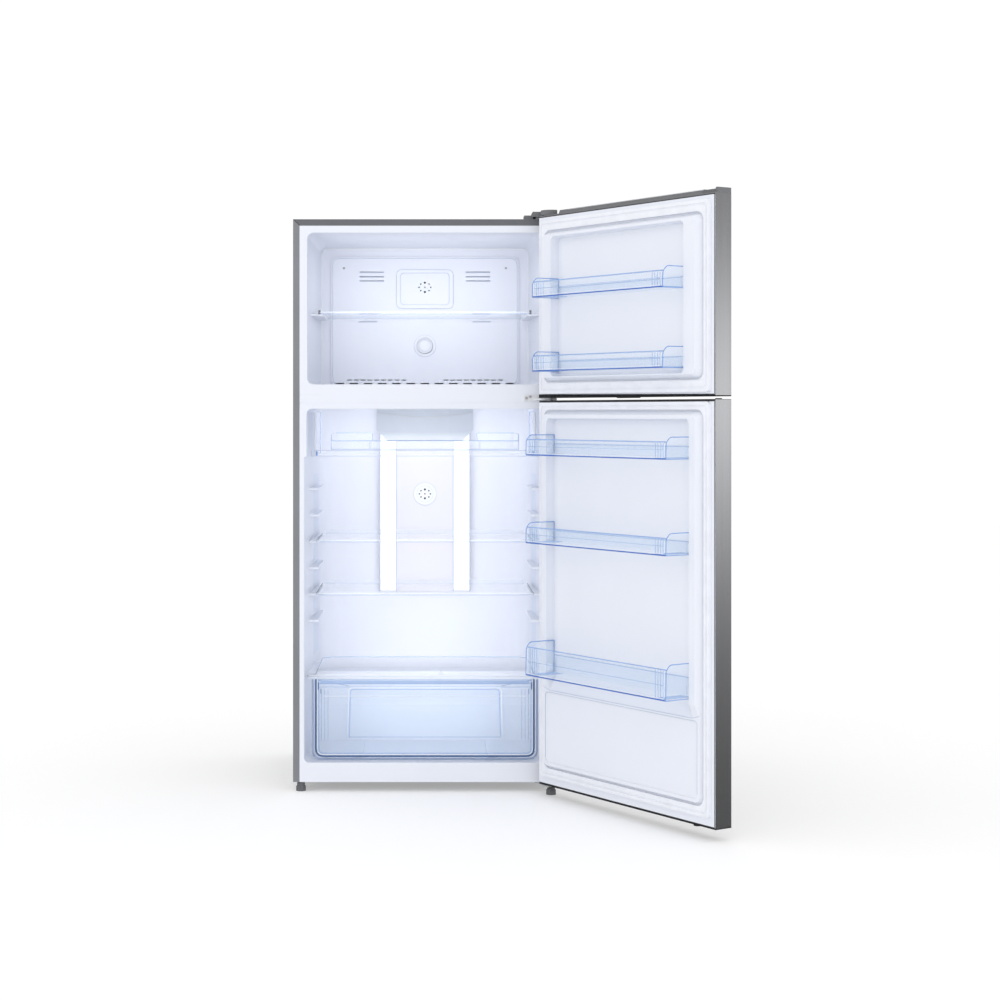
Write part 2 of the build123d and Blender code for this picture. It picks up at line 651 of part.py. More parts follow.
MOUNTS = ((-100.0, -45.0), (100.0, -45.0), (-100.0, 45.0), (100.0, 45.0))


def compressor_mounts():
    """Four rubber mounts between the foot plate and the base, each with a neck."""
    pieces = []
    for x, y in MOUNTS:
        centre = (COMPRESSOR_X + x, FRONT + COMPRESSOR_DEPTH + y)
        mount = Pos(centre[0], centre[1], 35.9) * Cylinder(12, 12.2)
        mount += Pos(centre[0], centre[1], 43) * Cylinder(5.9, 10)
        mount += Pos(centre[0], centre[1], 49) * Cylinder(10, 5.8)
        pieces.append(mount)
    return group(pieces)


def drip_tray():
    """Open tray beside the compressor that catches and dries the defrost water."""
    tray = block((100, 330), (500, 630), (34, 84))
    return tray - block((103, 327), (503, 627), (37, 90))


def refrigerant_pipes():
    """Copper discharge and suction lines: up from the shell, then level to the side wall."""
    y = FRONT + COMPRESSOR_DEPTH
    pipes = []
    for x, top in ((-140.0, 232.0), (-95.0, 244.0)):
        pipe = Pos(x, y, (150 + top) / 2) * Cylinder(4, top - 150)
        pipe += Pos(x, y, top) * Sphere(4)
        pipe += Pos((x - 335) / 2, y, top) * Rot(0, 90, 0) * Cylinder(4, x + 335)
        pipes.append(pipe)
    return pipes


def compressor_cover():
    """Rear sheet over the machine space, with rows of cooling slots and the lead's gland hole."""
    half = NICHE_HALF - 1
    cover = block((-half, half), (DEPTH - 3, DEPTH - 1.5), (BODY_BOTTOM + 4, NICHE_TOP - 1))
    for row in range(5):
        z = 90 + 26 * row
        for column in range(-6, 7):
            x = 46 * column
            cover -= block((x - 16, x + 16), (DEPTH - 5, DEPTH), (z - 3, z + 3))
    return cover - bar_y(INLET_X, (DEPTH - 5, DEPTH), 60, 9)


INLET_X = 300.0


def lead_gland():
    """Grommet where the supply lead would leave the machine space."""
    gland = bar_y(INLET_X, (DEPTH - 1.5, DEPTH), 60, 13)
    gland += bar_y(INLET_X, (DEPTH - 12, DEPTH - 1), 60, 9)
    return gland - bar_y(INLET_X, (DEPTH - 13, DEPTH + 1), 60, 4.2)


# ---------------------------------------------------------------- hinges on the cabinet
PLATE_TOP_Z = (1720.0, 1723.0)
PLATE_MIDDLE_Z = (1172.4, 1176.4)
PLATE_LOW_Z = (24.0, 28.0)


def upper_hinge():
    """Steel plate on the roof that reaches forward over the door, with the pin below it."""
    d = PIVOT_DEPTH
    outline = [(330, 60), (386, 60), (386, -20), (388, d), (375, d - 13), (362, d), (350, 4), (330, 8)]
    hinge = prism_z(outline, PLATE_TOP_Z, radius=[4, 4, 0, 6, 6, 6, 8, 4])
    hinge += block((332, 384), (6, 58), (BODY_TOP, PLATE_TOP_Z[0]))
    return hinge + post(PIVOT_X, d, (1700, PLATE_TOP_Z[0] + 1), PIN_R)


def upper_hinge_cover():
    """Two-step grey cap that hides the upper hinge."""
    top = 1735.0
    z = (BODY_TOP + 0.2, top)
    nose = post(PIVOT_X, PIVOT_DEPTH, (1719.6, top), 30)
    nose += block((345, 392), (PIVOT_DEPTH, -8), (1719.6, top))
    nose &= block((340, 392), (PIVOT_DEPTH - 40, 0), (1719.6, top))
    cap = nose + block((322, 392), (0.5, 68), z)
    cap += block((322, 392), (-13, 1), (1719.6, top))
    cap += block((298, 323), (8, 60), (z[0], 1726))
    room = post(PIVOT_X, PIVOT_DEPTH, (1719, top - 2), 28)
    room += block((347, 390), (PIVOT_DEPTH, -8), (1719, top - 2))
    room &= block((340, 390), (PIVOT_DEPTH - 40, 0), (1719, top - 2))
    room += block((324, 390), (-11, 66), (BODY_TOP, top - 2))
    room += block((300, 325), (10, 58), (BODY_TOP, 1724))
    return cap - room


def middle_hinge():
    """White bracket on the crossbar, its arm between the doors, with a pin up and a pin down."""
    hinge = block((296, 360), (-3, 0), (1169, 1187))
    d = PIVOT_DEPTH
    arm = [(322, -1), (360, -1), (388, d + 8), (388, d - 4), (375, d - 13), (362, d - 4)]
    hinge += prism_z(arm, PLATE_MIDDLE_Z, radius=[0, 0, 4, 4, 4, 4])
    hinge += post(PIVOT_X, d, (PLATE_MIDDLE_Z[1] - 1, 1192), PIN_R)
    return hinge + post(PIVOT_X, d, (1157, PLATE_MIDDLE_Z[0] + 1), PIN_R)


def lower_hinge():
    """Plate under the cabinet that carries the lower pin and the right front foot."""
    d = PIVOT_DEPTH
    outline = [(330, 70), (388, 70), (388, d), (375, d - 14), (356, d), (340, 0), (330, 8)]
    hinge = prism_z(outline, PLATE_LOW_Z, radius=[4, 4, 6, 8, 8, 8, 4])
    hinge += post(PIVOT_X, d, (PLATE_LOW_Z[1] - 1, 46), PIN_R)
    return hinge - post(PIVOT_X, d, (PLATE_LOW_Z[0] - 1, 26.2), 5 + PIN_FIT)


def hinge_screws():
    """Screw heads on the three hinges and the evaporator cover."""
    screws = []
    for x, d in ((345, 22), (371, 22), (358, 46)):
        screws.append(post(x, d, (PLATE_TOP_Z[1], PLATE_TOP_Z[1] + 3), 6))
    for x, z in ((304, 1178), (316, 1182.5), (349, 1182.5)):
        screws.append(bar_y(x, (-5, -3), z, 4))
    for x, d in ((345, 30), (345, 56), (372, 43)):
        screws.append(post(x, d, (PLATE_LOW_Z[0] - 3, PLATE_LOW_Z[0]), 6))
    for side in (-1, 1):
        screws.append(bar_y(side * 262, (FRAME_DEPTH + 3.5, COVER_DEPTH), 1602, 3.9))
    return group(screws)


# ---------------------------------------------------------------- doors, drawn closed
def door_skin(z):
    """Brushed steel outer face bent back along both sides."""
    depth = (DOOR_OUTER, DOOR_INNER)
    high = (z[0] + 3, z[1] - 1)
    skin = block((-DOOR_HALF, DOOR_HALF), depth, high)
    inside = (-DOOR_HALF + SHEET, DOOR_HALF - SHEET)
    return skin - block(inside, (depth[0] + SHEET, depth[1] + 1), high)


def door_cap(z, low, high):
    """Moulded door end inside the skin, with its lip flush under the skin's edge."""
    inside = DOOR_HALF - SHEET
    depth = (DOOR_OUTER + SHEET, DOOR_INNER)
    cap = block((-inside, inside), depth, (low, high))
    lip_z = (z[0], z[0] + 3) if low == z[0] else (z[1] - 1, z[1])
    cap += block((-DOOR_HALF, DOOR_HALF), (DOOR_OUTER, DOOR_INNER), lip_z)
    return cap


def freezer_top_cap():
    """Top end of the freezer door: a hinge bore, a long raised rib and a corner at the free end."""
    z = FREEZER_DOOR_Z
    cap = door_cap(z, z[1] - CAP, z[1])
    rib = [(DOOR_OUTER + 2, z[1]), (DOOR_OUTER + 6, z[1] + 15), (DOOR_OUTER + 24, z[1] + 15)]
    rib += [(DOOR_OUTER + 30, z[1])]
    cap += prism_x(rib, (-310, 331))
    free = block((-DOOR_HALF, -310), (DOOR_OUTER, DOOR_OUTER + 32), (z[1], z[1] + 12))
    free += block((-DOOR_HALF, -DOOR_HALF + 8), (DOOR_OUTER, DOOR_OUTER + 48), (z[1], z[1] + 13.5))
    cap += free
    return cap - post(PIVOT_X, PIVOT_DEPTH, (1698, z[1] + 1), PIN_R + PIN_FIT)


def freezer_bottom_cap():
    """Black bottom end of the freezer door, with a small grip boss in the middle."""
    z = FREEZER_DOOR_Z
    cap = door_cap(z, z[0], z[0] + CAP)
    cap += block((-60, 30), (DOOR_INNER - 16, DOOR_INNER - 4), (z[0] - 2.5, z[0] + 1))
    return cap - post(PIVOT_X, PIVOT_DEPTH, (z[0] - 1, 1194), PIN_R + PIN_FIT)


def fridge_top_cap():
    """Black top end of the lower door: bore, scooped finger pull and a small plug."""
    z = FRIDGE_DOOR_Z
    cap = door_cap(z, z[1] - CAP, z[1])
    pull = [(DOOR_OUTER + 14, z[1] + 1), (DOOR_OUTER + 14, z[1] - 15), (DOOR_OUTER + 30, z[1] - 15)]
    pull += [(DOOR_OUTER + 36, z[1] + 1)]
    cap -= prism_x(pull, (-330, -150), radius=[0, 4, 4, 0])
    cap += post(-362, DOOR_OUTER + 20, (z[1], z[1] + 2.5), 9)
    return cap - post(PIVOT_X, PIVOT_DEPTH, (1155, z[1] + 1), PIN_R + PIN_FIT)


def fridge_bottom_cap():
    """Black bottom end of the lower door, with a round stop pad near the free end."""
    z = FRIDGE_DOOR_Z
    cap = door_cap(z, z[0], z[0] + CAP)
    cap += post(-300, DOOR_INNER - 16, (z[0] - 5, z[0] + 1), 11)
    return cap - post(PIVOT_X, PIVOT_DEPTH, (z[0] - 1, 48), PIN_R + PIN_FIT)


def door_foam(z):
    """Foam slab that fills the door between skin, caps and liner."""
    half = DOOR_HALF - SHEET - 0.2
    return block((-half, half), (DOOR_OUTER + SHEET, DOOR_INNER - LINER), (z[0] + CAP, z[1] - CAP))


def ramp_ring(outer_half, outer_z, inner_half, inner_z, rise):
    """Raised rim on a door liner: sloping outside, near-upright inside."""
    foot_depth = DOOR_INNER - 1
    crest = DOOR_INNER + rise
    low = rounded(outer_half, outer_z, foot_depth, 24)
    top = rounded(outer_half - 11, (outer_z[0] + 11, outer_z[1] - 11), crest, 20)
    solid = loft([low, top], ruled=True)
    low = rounded(inner_half - 1, (inner_z[0] + 5, inner_z[1] - 5), foot_depth, 13)
    top = rounded(inner_half, inner_z, crest + 0.5, 15)
    return solid - loft([low, top], ruled=True)


def hollow_back(outer_half, outer_z, inner_half, inner_z, rise):
    """Space behind the raised rim, so that the liner keeps a thin wall."""
    near = DOOR_INNER - LINER - 1
    far = DOOR_INNER + rise - LINER - 1
    z = (outer_z[0] + 5, outer_z[1] - 5)
    low = rounded(outer_half - 5, z, near, 20)
    top = rounded(outer_half - 14, (outer_z[0] + 14, outer_z[1] - 14), far, 17)
    solid = loft([low, top], ruled=True)
    z = (inner_z[0] - 5, inner_z[1] + 5)
    return solid - extrude(rounded(inner_half + 5, z, far + 1, 20), far - near + 2)


def bin_lugs(door):
    """Pairs of lugs on the rim walls that the bins hang on."""
    lugs = []
    for name, owner, half, reach, low, high in BINS:
        if owner != door:
            continue
        depth = (DOOR_INNER + LUG[0], DOOR_INNER + LUG[1])
        for side in (-1, 1):
            x = span(side * (half - LUG[2]), side * (half + 6))
            lugs.append(block(x, depth, (low + 8, low + 30)))
    return lugs


def freezer_door_liner():
    """White freezer door liner with a broad raised rim around one recess."""
    z = FREEZER_DOOR_Z
    inside = DOOR_HALF - SHEET - 0.2
    plate = (z[0] + 5, z[1] - 6)
    plate_depth = (DOOR_INNER - LINER, DOOR_INNER)
    liner = block((-inside, inside), plate_depth, (z[0] + CAP, z[1] - CAP))
    liner += block((-inside, inside), (DOOR_INNER, DOOR_INNER + 1.5), plate)
    recess = (FREEZER_DYKE_Z[0] + 14, 1649.0)
    liner += ramp_ring(DYKE_HALF, FREEZER_DYKE_Z, 295, recess, DYKE_HIGH)
    liner -= hollow_back(DYKE_HALF, FREEZER_DYKE_Z, 295, recess, DYKE_HIGH)
    for lug in bin_lugs("freezer"):
        liner += lug
    return liner


PANEL_TOP = 320.0           # the lower door's flat panel starts here, under a slope
PANEL_RISE = 18.0
RECESS_LOW = 352.0
RECESS_HALF = 317.0


def fridge_door_liner():
    """White fridge door liner: tall recess for three bins, then a slope to a flat panel."""
    z = FRIDGE_DOOR_Z
    inside = DOOR_HALF - SHEET - 0.2
    plate = (z[0] + 5, z[1] - 4.7)
    plate_depth = (DOOR_INNER - LINER, DOOR_INNER)
    crest = DOOR_INNER + DYKE_HIGH
    face = DOOR_INNER + PANEL_RISE
    recess = (RECESS_LOW, 1118.0)
    ring_z = (PANEL_TOP - 30, FRIDGE_DYKE_Z[1])
    low = rounded(DYKE_HALF, (FRIDGE_DYKE_Z[0], PANEL_TOP + 20), DOOR_INNER - 1, 24)
    top = rounded(DYKE_HALF - 6, (FRIDGE_DYKE_Z[0] + 6, PANEL_TOP + 14), face, 20)
    raised = loft([low, top], ruled=True)
    raised += ramp_ring(DYKE_HALF, ring_z, RECESS_HALF, recess, DYKE_HIGH)
    foot_z = PANEL_TOP - 40
    slope = [(DOOR_INNER, RECESS_LOW + 6), (face, PANEL_TOP), (face, foot_z)]
    slope += [(crest + 1, foot_z), (crest + 1, RECESS_LOW + 6)]
    raised -= prism_x(slope, (-RECESS_HALF, RECESS_HALF))
    bevel = [(crest, RECESS_LOW + 6), (face, PANEL_TOP + 8), (face, foot_z)]
    bevel += [(crest + 1, foot_z), (crest + 1, RECESS_LOW + 6)]
    for side in (-1, 1):
        raised -= prism_x(bevel, span(side * RECESS_HALF, side * (DYKE_HALF + 1)))
    raised -= extrude(rounded(DYKE_HALF - 16, (FRIDGE_DYKE_Z[0] + 16, PANEL_TOP - 6), face + 1, 12), 4)
    liner = block((-inside, inside), plate_depth, (z[0] + CAP, z[1] - CAP))
    liner += block((-inside, inside), (DOOR_INNER, DOOR_INNER + 1.5), plate)
    liner += raised
    behind = (RECESS_LOW - 7, FRIDGE_DYKE_Z[1])
    liner -= hollow_back(DYKE_HALF, behind, RECESS_HALF, recess, DYKE_HIGH)
    half = DYKE_HALF - 18
    panel_back = (FRIDGE_DYKE_Z[0] + 18, PANEL_TOP - 16)
    liner -= block((-half, half), (plate_depth[0] - 1, face - 6), panel_back)
    for lug in bin_lugs("fridge"):
        liner += lug
    return liner


def gasket(outer_z, inner_z):
    """Soft magnetic seal: a ring with a bellows groove along its middle."""
    near = DOOR_INNER + 1.5
    far = -0.5
    ring = extrude(rounded(375, outer_z, far, 10), far - near)
    ring -= extrude(rounded(DYKE_HALF + 2, inner_z, far + 1, 26), far - near + 2)
    middle = (outer_z[0] + 9, outer_z[1] - 9)
    groove = extrude(rounded(368, middle, far + 1, 12), 3.5)
    groove -= extrude(rounded(363, (middle[0] + 5, middle[1] - 5), far + 2, 12), 6)
    return ring - groove


def door_bin(half, reach, low, high):
    """Clear blue bin: sloped front corners, end walls with a channel for the lugs."""
    back = DOOR_INNER + 2.5
    front = DOOR_INNER + reach
    top = low + high
    side = [(back, low), (front - 2, low), (front, low + 4), (front - 2, top - 16), (front - 16, top)]
    side += [(back, top)]
    radii = [2, 3, 3, 10, 10, 3]
    shape = prism_x(side, (-half, half), radius=radii)
    t = CLEAR
    inner = [(back + t, low + t), (front - 2 - t, low + t), (front - t - 1.8, top - 16)]
    inner += [(front - t - 1.8, top + 20), (back + t, top + 20)]
    shape -= prism_x(inner, (t - half, half - t), radius=[2, 3, 0, 0, 0])
    shape -= block((5 - half, half - 5), (back - 1, back + t + 1), (low + 0.55 * high, top + 1))
    for end in (-1, 1):
        pad_x = span(end * (half - LUG[2] - 4), end * half)
        pad = (DOOR_INNER + LUG[0] - 3, DOOR_INNER + LUG[1] + 3)
        shape += block(pad_x, pad, (low, low + 34))
        slot_x = span(end * (half - LUG[2] - 0.5), end * (half + 1))
        slot = (DOOR_INNER + LUG[0] - 0.4, DOOR_INNER + LUG[1] + 0.4)
        shape -= block(slot_x, slot, (low - 1, low + 30.2))
    return shape


# ---------------------------------------------------------------- the whole refrigerator
def build_cabinet():
    nodes["outer_shell"] = outer_shell()
    nodes["rear_panel"] = rear_panel()
    nodes["cabinet_foam"] = cabinet_foam()
    nodes["freezer_liner"] = freezer_liner()
    nodes["fridge_liner"] = fridge_liner()
    nodes["mullion_front"] = mullion_front()
    nodes["base_frame"] = base_frame()
    nodes["compressor"] = compressor()
    nodes["compressor_mounts"] = compressor_mounts()
    nodes["drip_tray"] = drip_tray()
    nodes["compressor_cover"] = compressor_cover()
    nodes["lead_gland"] = lead_gland()
    nodes["left_roller"] = roller(-1)
    nodes["right_roller"] = roller(1)
    nodes["left_foot"] = foot(-FOOT_X, LEFT_FOOT_DEPTH, 24, 29.8)
    nodes["right_foot"] = foot(PIVOT_X, PIVOT_DEPTH, 19.5, 26)
    nodes["upper_hinge"] = upper_hinge()
    nodes["upper_hinge_cover"] = upper_hinge_cover()
    nodes["middle_hinge"] = middle_hinge()
    nodes["lower_hinge"] = lower_hinge()
    nodes["screws"] = hinge_screws()


def build_inside():
    nodes["evaporator_cover"] = evaporator_cover()
    nodes["temperature_dial"] = temperature_dial()
    nodes["evaporator"] = evaporator()
    nodes["fan_motor"] = fan_motor()
    nodes["evaporator_fan"] = evaporator_fan()
    nodes["duct_cover"] = duct_cover()
    nodes["light_strips"] = light_strips()
    nodes["duct_vent"] = duct_vent()
    nodes["lamp_cover"] = lamp_cover()
    nodes["chiller_brackets"] = chiller_brackets()
    nodes["chiller_shelf"] = chiller_shelf()
    nodes["chiller_tray"] = chiller_tray()
    nodes["crisper_cover_glass"] = crisper_cover_glass()
    nodes["crisper_cover_frame"] = crisper_cover_frame()
    nodes["humidity_slider"] = humidity_slider()
    nodes["crisper_drawer"] = crisper_drawer()
    shelves = (
        ("freezer_shelf", FREEZER_SHELF_HALF, (104, 460), FREEZER_SHELF_Z),
        ("lower_shelf", SHELF_HALF - 1.5, (125, 488), SHELF_Z[0]),
        ("upper_shelf", SHELF_HALF - 1.5, (125, 488), SHELF_Z[1]),
    )
    for name, half, depth, top in shelves:
        nodes[name + "_glass"] = shelf_glass(half, depth, top)
        nodes[name + "_trim"] = shelf_trim(half, depth, top)


def build_doors():
    nodes["freezer_door_skin"] = swing(door_skin(FREEZER_DOOR_Z))
    nodes["freezer_door_top_cap"] = swing(freezer_top_cap())
    nodes["freezer_door_bottom_cap"] = swing(freezer_bottom_cap())
    nodes["freezer_door_foam"] = swing(door_foam(FREEZER_DOOR_Z))
    nodes["freezer_door_liner"] = swing(freezer_door_liner())
    nodes["freezer_door_gasket"] = swing(gasket((1190, 1701), (1222, 1671)))
    nodes["fridge_door_skin"] = swing(door_skin(FRIDGE_DOOR_Z))
    nodes["fridge_door_top_cap"] = swing(fridge_top_cap())
    nodes["fridge_door_bottom_cap"] = swing(fridge_bottom_cap())
    nodes["fridge_door_foam"] = swing(door_foam(FRIDGE_DOOR_Z))
    nodes["fridge_door_liner"] = swing(fridge_door_liner())
    nodes["fridge_door_gasket"] = swing(gasket((62, 1164), (88, 1143)))
    for name, owner, half, reach, low, high in BINS:
        nodes[name] = swing(door_bin(half, reach, low, high))


build_cabinet()
build_inside()
build_doors()

os.makedirs("parts", exist_ok=True)
for node_name, shape in nodes.items():
    export_step(shape, f"parts/{node_name}.step")
print(len(nodes), "nodes")
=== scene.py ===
import json
from math import cos, pi, radians, sin

import bmesh
import bpy
from mathutils import Matrix, Vector

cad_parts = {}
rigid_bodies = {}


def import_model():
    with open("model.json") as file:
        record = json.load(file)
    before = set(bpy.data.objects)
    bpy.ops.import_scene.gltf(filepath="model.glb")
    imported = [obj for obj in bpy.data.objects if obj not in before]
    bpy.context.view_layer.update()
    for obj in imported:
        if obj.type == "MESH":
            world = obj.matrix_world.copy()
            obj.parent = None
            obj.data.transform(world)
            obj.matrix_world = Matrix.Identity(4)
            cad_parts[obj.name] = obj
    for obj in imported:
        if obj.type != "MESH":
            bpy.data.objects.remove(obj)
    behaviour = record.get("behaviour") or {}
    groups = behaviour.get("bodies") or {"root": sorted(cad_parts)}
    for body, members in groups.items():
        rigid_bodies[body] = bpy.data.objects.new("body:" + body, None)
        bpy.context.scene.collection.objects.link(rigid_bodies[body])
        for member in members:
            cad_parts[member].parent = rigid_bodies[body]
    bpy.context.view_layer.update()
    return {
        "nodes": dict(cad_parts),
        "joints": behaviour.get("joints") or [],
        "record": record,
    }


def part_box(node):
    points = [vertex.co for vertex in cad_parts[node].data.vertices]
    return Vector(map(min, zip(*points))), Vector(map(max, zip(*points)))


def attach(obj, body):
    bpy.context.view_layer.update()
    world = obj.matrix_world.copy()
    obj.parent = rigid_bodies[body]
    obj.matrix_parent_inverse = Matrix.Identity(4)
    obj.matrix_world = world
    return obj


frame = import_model()
NODES = frame["nodes"]
JOINTS = {joint["name"]: joint for joint in frame["joints"]}
SLOT_OF = {part["node"]: part["material_slot"] for part in frame["record"]["subparts"]}

# ---------------------------------------------------------------- places taken from the frame
FRONT_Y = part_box("outer_shell")[0].y
HINGE = JOINTS["fridge_door_hinge"]
PIVOT = Vector(HINGE["pos_m"])
OPEN = radians(-HINGE["range_deg"][0])
TO_OPEN = Matrix.Translation(PIVOT) @ Matrix.Rotation(OPEN, 4, "Z") @ Matrix.Translation(-PIVOT)
TO_SHUT = TO_OPEN.inverted()


def inside(x, depth, z):
    """A point given by its depth behind the cabinet's front plane."""
    return Vector((x, FRONT_Y + depth, z))


def on_door(x, depth, z):
    """The same, drawn on the shut door and carried to where the door stands open."""
    return TO_OPEN @ inside(x, depth, z)


def extent(node, shut=False):
    """Lowest and highest (x, depth, z) of a node, for a door piece as it lies when shut."""
    points = [v.co for v in NODES[node].data.vertices]
    if shut:
        points = [TO_SHUT @ p for p in points]
    low = Vector([min(p[i] for p in points) for i in range(3)])
    high = Vector([max(p[i] for p in points) for i in range(3)])
    low.y -= FRONT_Y
    high.y -= FRONT_Y
    return low, high


# ---------------------------------------------------------------- material helpers
class Shade:
    """One Principled material with its node tree and a few short ways to feed it."""

    def __init__(self, name, color, rough, metallic=0.0, ior=1.46):
        self.mat = bpy.data.materials.new(name)
        self.mat.use_nodes = True
        self.tree = self.mat.node_tree
        self.shader = self.tree.nodes["Principled BSDF"]
        self.set("Base Color", (*color, 1.0))
        self.set("Roughness", rough)
        self.set("Metallic", metallic)
        self.set("IOR", ior)
        self.color = color
        self.coords = self.node("ShaderNodeTexCoord").outputs["Object"]

    def node(self, kind, **values):
        made = self.tree.nodes.new(kind)
        for key, value in values.items():
            setattr(made, key, value)
        return made

    def link(self, a, b):
        self.tree.links.new(a, b)

    def set(self, socket, value):
        self.shader.inputs[socket].default_value = value

    def noise(self, scale, stretch=(1, 1, 1), detail=4.0):
        mapping = self.node("ShaderNodeMapping")
        mapping.inputs["Scale"].default_value = stretch
        self.link(self.coords, mapping.inputs["Vector"])
        tex = self.node("ShaderNodeTexNoise")
        tex.inputs["Scale"].default_value = scale
        tex.inputs["Detail"].default_value = detail
        self.link(mapping.outputs["Vector"], tex.inputs["Vector"])
        return tex.outputs["Fac"]

    def vary_color(self, fac, other, low=0.35, high=0.65):
        ramp = self.node("ShaderNodeValToRGB")
        ramp.color_ramp.elements[0].position = low
        ramp.color_ramp.elements[1].position = high
        ramp.color_ramp.elements[0].color = (*self.color, 1.0)
        ramp.color_ramp.elements[1].color = (*other, 1.0)
        self.link(fac, ramp.inputs["Fac"])
        self.link(ramp.outputs["Color"], self.shader.inputs["Base Color"])

    def vary_rough(self, fac, low, high):
        remap = self.node("ShaderNodeMapRange")
        remap.inputs["From Min"].default_value = 0.3
        remap.inputs["From Max"].default_value = 0.7
        remap.inputs["To Min"].default_value = low
        remap.inputs["To Max"].default_value = high
        self.link(fac, remap.inputs["Value"])
        self.link(remap.outputs["Result"], self.shader.inputs["Roughness"])

    def bump(self, fac, strength, distance):
        made = self.node("ShaderNodeBump")
        made.inputs["Strength"].default_value = strength
        made.inputs["Distance"].default_value = distance
        self.link(fac, made.inputs["Height"])
        self.link(made.outputs["Normal"], self.shader.inputs["Normal"])

    def glow_by_height(self, strengths, color):
        """Light from inside a diffuser, uneven along its height: (height, strength) pairs."""
        split = self.node("ShaderNodeSeparateXYZ")
        self.link(self.coords, split.inputs["Vector"])
        remap = self.node("ShaderNodeMapRange")
        remap.inputs["From Min"].default_value = strengths[0][0]
        remap.inputs["From Max"].default_value = strengths[1][0]
        remap.inputs["To Min"].default_value = strengths[0][1]
        remap.inputs["To Max"].default_value = strengths[1][1]
        self.link(split.outputs["Z"], remap.inputs["Value"])
        self.link(remap.outputs["Result"], self.shader.inputs["Emission Strength"])
        self.set("Emission Color", (*color, 1.0))


def shift(color, by):
    return tuple(max(0.0, min(1.0, c * by)) for c in color)


def moulded(name, color, rough, grain=70.0, bump=0.012, vary=0.99, **more):
    """Injection moulded plastic: soft skin waves, faint cloudy shade, uneven gloss."""
    made = Shade(name, color, rough, **more)
    made.vary_color(made.noise(5.0, detail=3.0), shift(color, vary))
    made.vary_rough(made.noise(40.0, detail=2.0), rough * 0.95, rough * 1.06)
    made.bump(made.noise(grain, detail=1.0), bump, 0.0002)
    made.set("Specular IOR Level", 0.35)
    return made


def brushed(name, color, rough, stretch):
    """Brushed sheet steel: long fine scratches along one direction."""
    made = Shade(name, color, rough, metallic=0.9)
    lines = made.noise(70.0, stretch, detail=2.0)
    made.vary_color(lines, shift(color, 0.94), 0.3, 0.7)
    made.vary_rough(made.noise(45.0, stretch, detail=1.0), rough * 0.96, rough * 1.05)
    made.bump(lines, 0.01, 0.0001)
    return made


def painted(name, color, rough, bump=0.12, metallic=0.25):
    """Powder-coated sheet: orange-peel skin and slight unevenness."""
    made = Shade(name, color, rough, metallic=metallic)
    made.vary_color(made.noise(5.0, detail=3.0), shift(color, 0.95))
    made.vary_rough(made.noise(90.0), rough * 0.85, rough * 1.15)
    made.bump(made.noise(220.0, detail=2.0), bump, 0.00015)
    return made


def clear_plastic(name, color, alpha, rough=0.06, transmission=0.5, wave=0.04):
    """Clear styrene moulding: part see-through, part refracting, with faint flow waves."""
    made = Shade(name, color, rough, ior=1.45)
    made.set("Transmission Weight", transmission)
    made.set("Alpha", alpha)
    made.vary_color(made.noise(14.0, detail=3.0), shift(color, 0.96))
    made.vary_rough(made.noise(35.0), rough * 0.6, rough * 1.6)
    made.bump(made.noise(24.0, detail=2.0), wave, 0.0004)
    made.mat.surface_render_method = "BLENDED"
    return made


def glowing(name, color, strength):
    """Frosted diffuser lit from behind, a little uneven."""
    made = Shade(name, color, 0.45)
    made.vary_color(made.noise(12.0, detail=2.0), shift(color, 0.98))
    made.bump(made.noise(300.0, detail=2.0), 0.06, 0.0002)
    made.set("Emission Color", (*color, 1.0))
    made.set("Emission Strength", strength)
    return made


def rubber(name, color, rough=0.6, bump=0.10):
    made = Shade(name, color, rough)
    made.vary_color(made.noise(30.0), shift(color, 0.95))
    made.vary_rough(made.noise(120.0), rough * 0.85, min(1.0, rough * 1.2))
    made.bump(made.noise(250.0), bump, 0.0002)
    return made


WHITE = (0.848, 0.874, 0.945)
UPRIGHT = (1.0, 1.0, 0.012)        # noise stretched along Z: brush lines run upright

SHADES = {
    "cabinet_steel": painted("cabinet_steel", (0.300, 0.310, 0.332), 0.40),
    "back_steel": painted("back_steel", (0.42, 0.43, 0.44), 0.5),
    "door_steel": brushed("door_steel", (0.62, 0.625, 0.635), 0.16, UPRIGHT),
    "liner_white": moulded("liner_white", WHITE, 0.30),
    "trim_white": moulded("trim_white", (0.87, 0.90, 0.965), 0.26),
    "cap_grey": moulded("cap_grey", (0.19, 0.195, 0.205), 0.35, bump=0.1, vary=0.95),
    "cap_black": moulded("cap_black", (0.018, 0.018, 0.02), 0.35, bump=0.1, vary=1.4),
    "foam": moulded("foam", (0.80, 0.70, 0.45), 0.9, bump=0.8, vary=0.9),
    "seal": rubber("seal", (0.90, 0.92, 0.975), 0.5, bump=0.03),
    "clear_blue": clear_plastic("clear_blue", (0.64, 0.80, 1.0), 0.095, transmission=0.0),
    "clear": clear_plastic("clear", (0.80, 0.88, 1.0), 0.12, transmission=0.0),
    "shelf_glass": clear_plastic("shelf_glass", (0.82, 0.90, 0.95), 0.07, rough=0.03, transmission=0.0,
                                 wave=0.003),
    "frosted": glowing("frosted", (0.90, 0.94, 1.0), 0.35),
    "zinc_steel": painted("zinc_steel", (0.66, 0.67, 0.69), 0.38, bump=0.03, metallic=0.5),
    "white_steel": painted("white_steel", (0.84, 0.86, 0.90), 0.35),
    "screw_steel": brushed("screw_steel", (0.62, 0.62, 0.63), 0.28, (1.0, 1.0, 1.0)),
    "aluminium": brushed("aluminium", (0.78, 0.79, 0.80), 0.32, (0.02, 1.0, 1.0)),
    "black_enamel": painted("black_enamel", (0.014, 0.014, 0.015), 0.22),
    "black_rubber": rubber("black_rubber", (0.02, 0.02, 0.02)),
    "grey_plastic": moulded("grey_plastic", (0.165, 0.17, 0.18), 0.4, bump=0.1, vary=0.9),
}

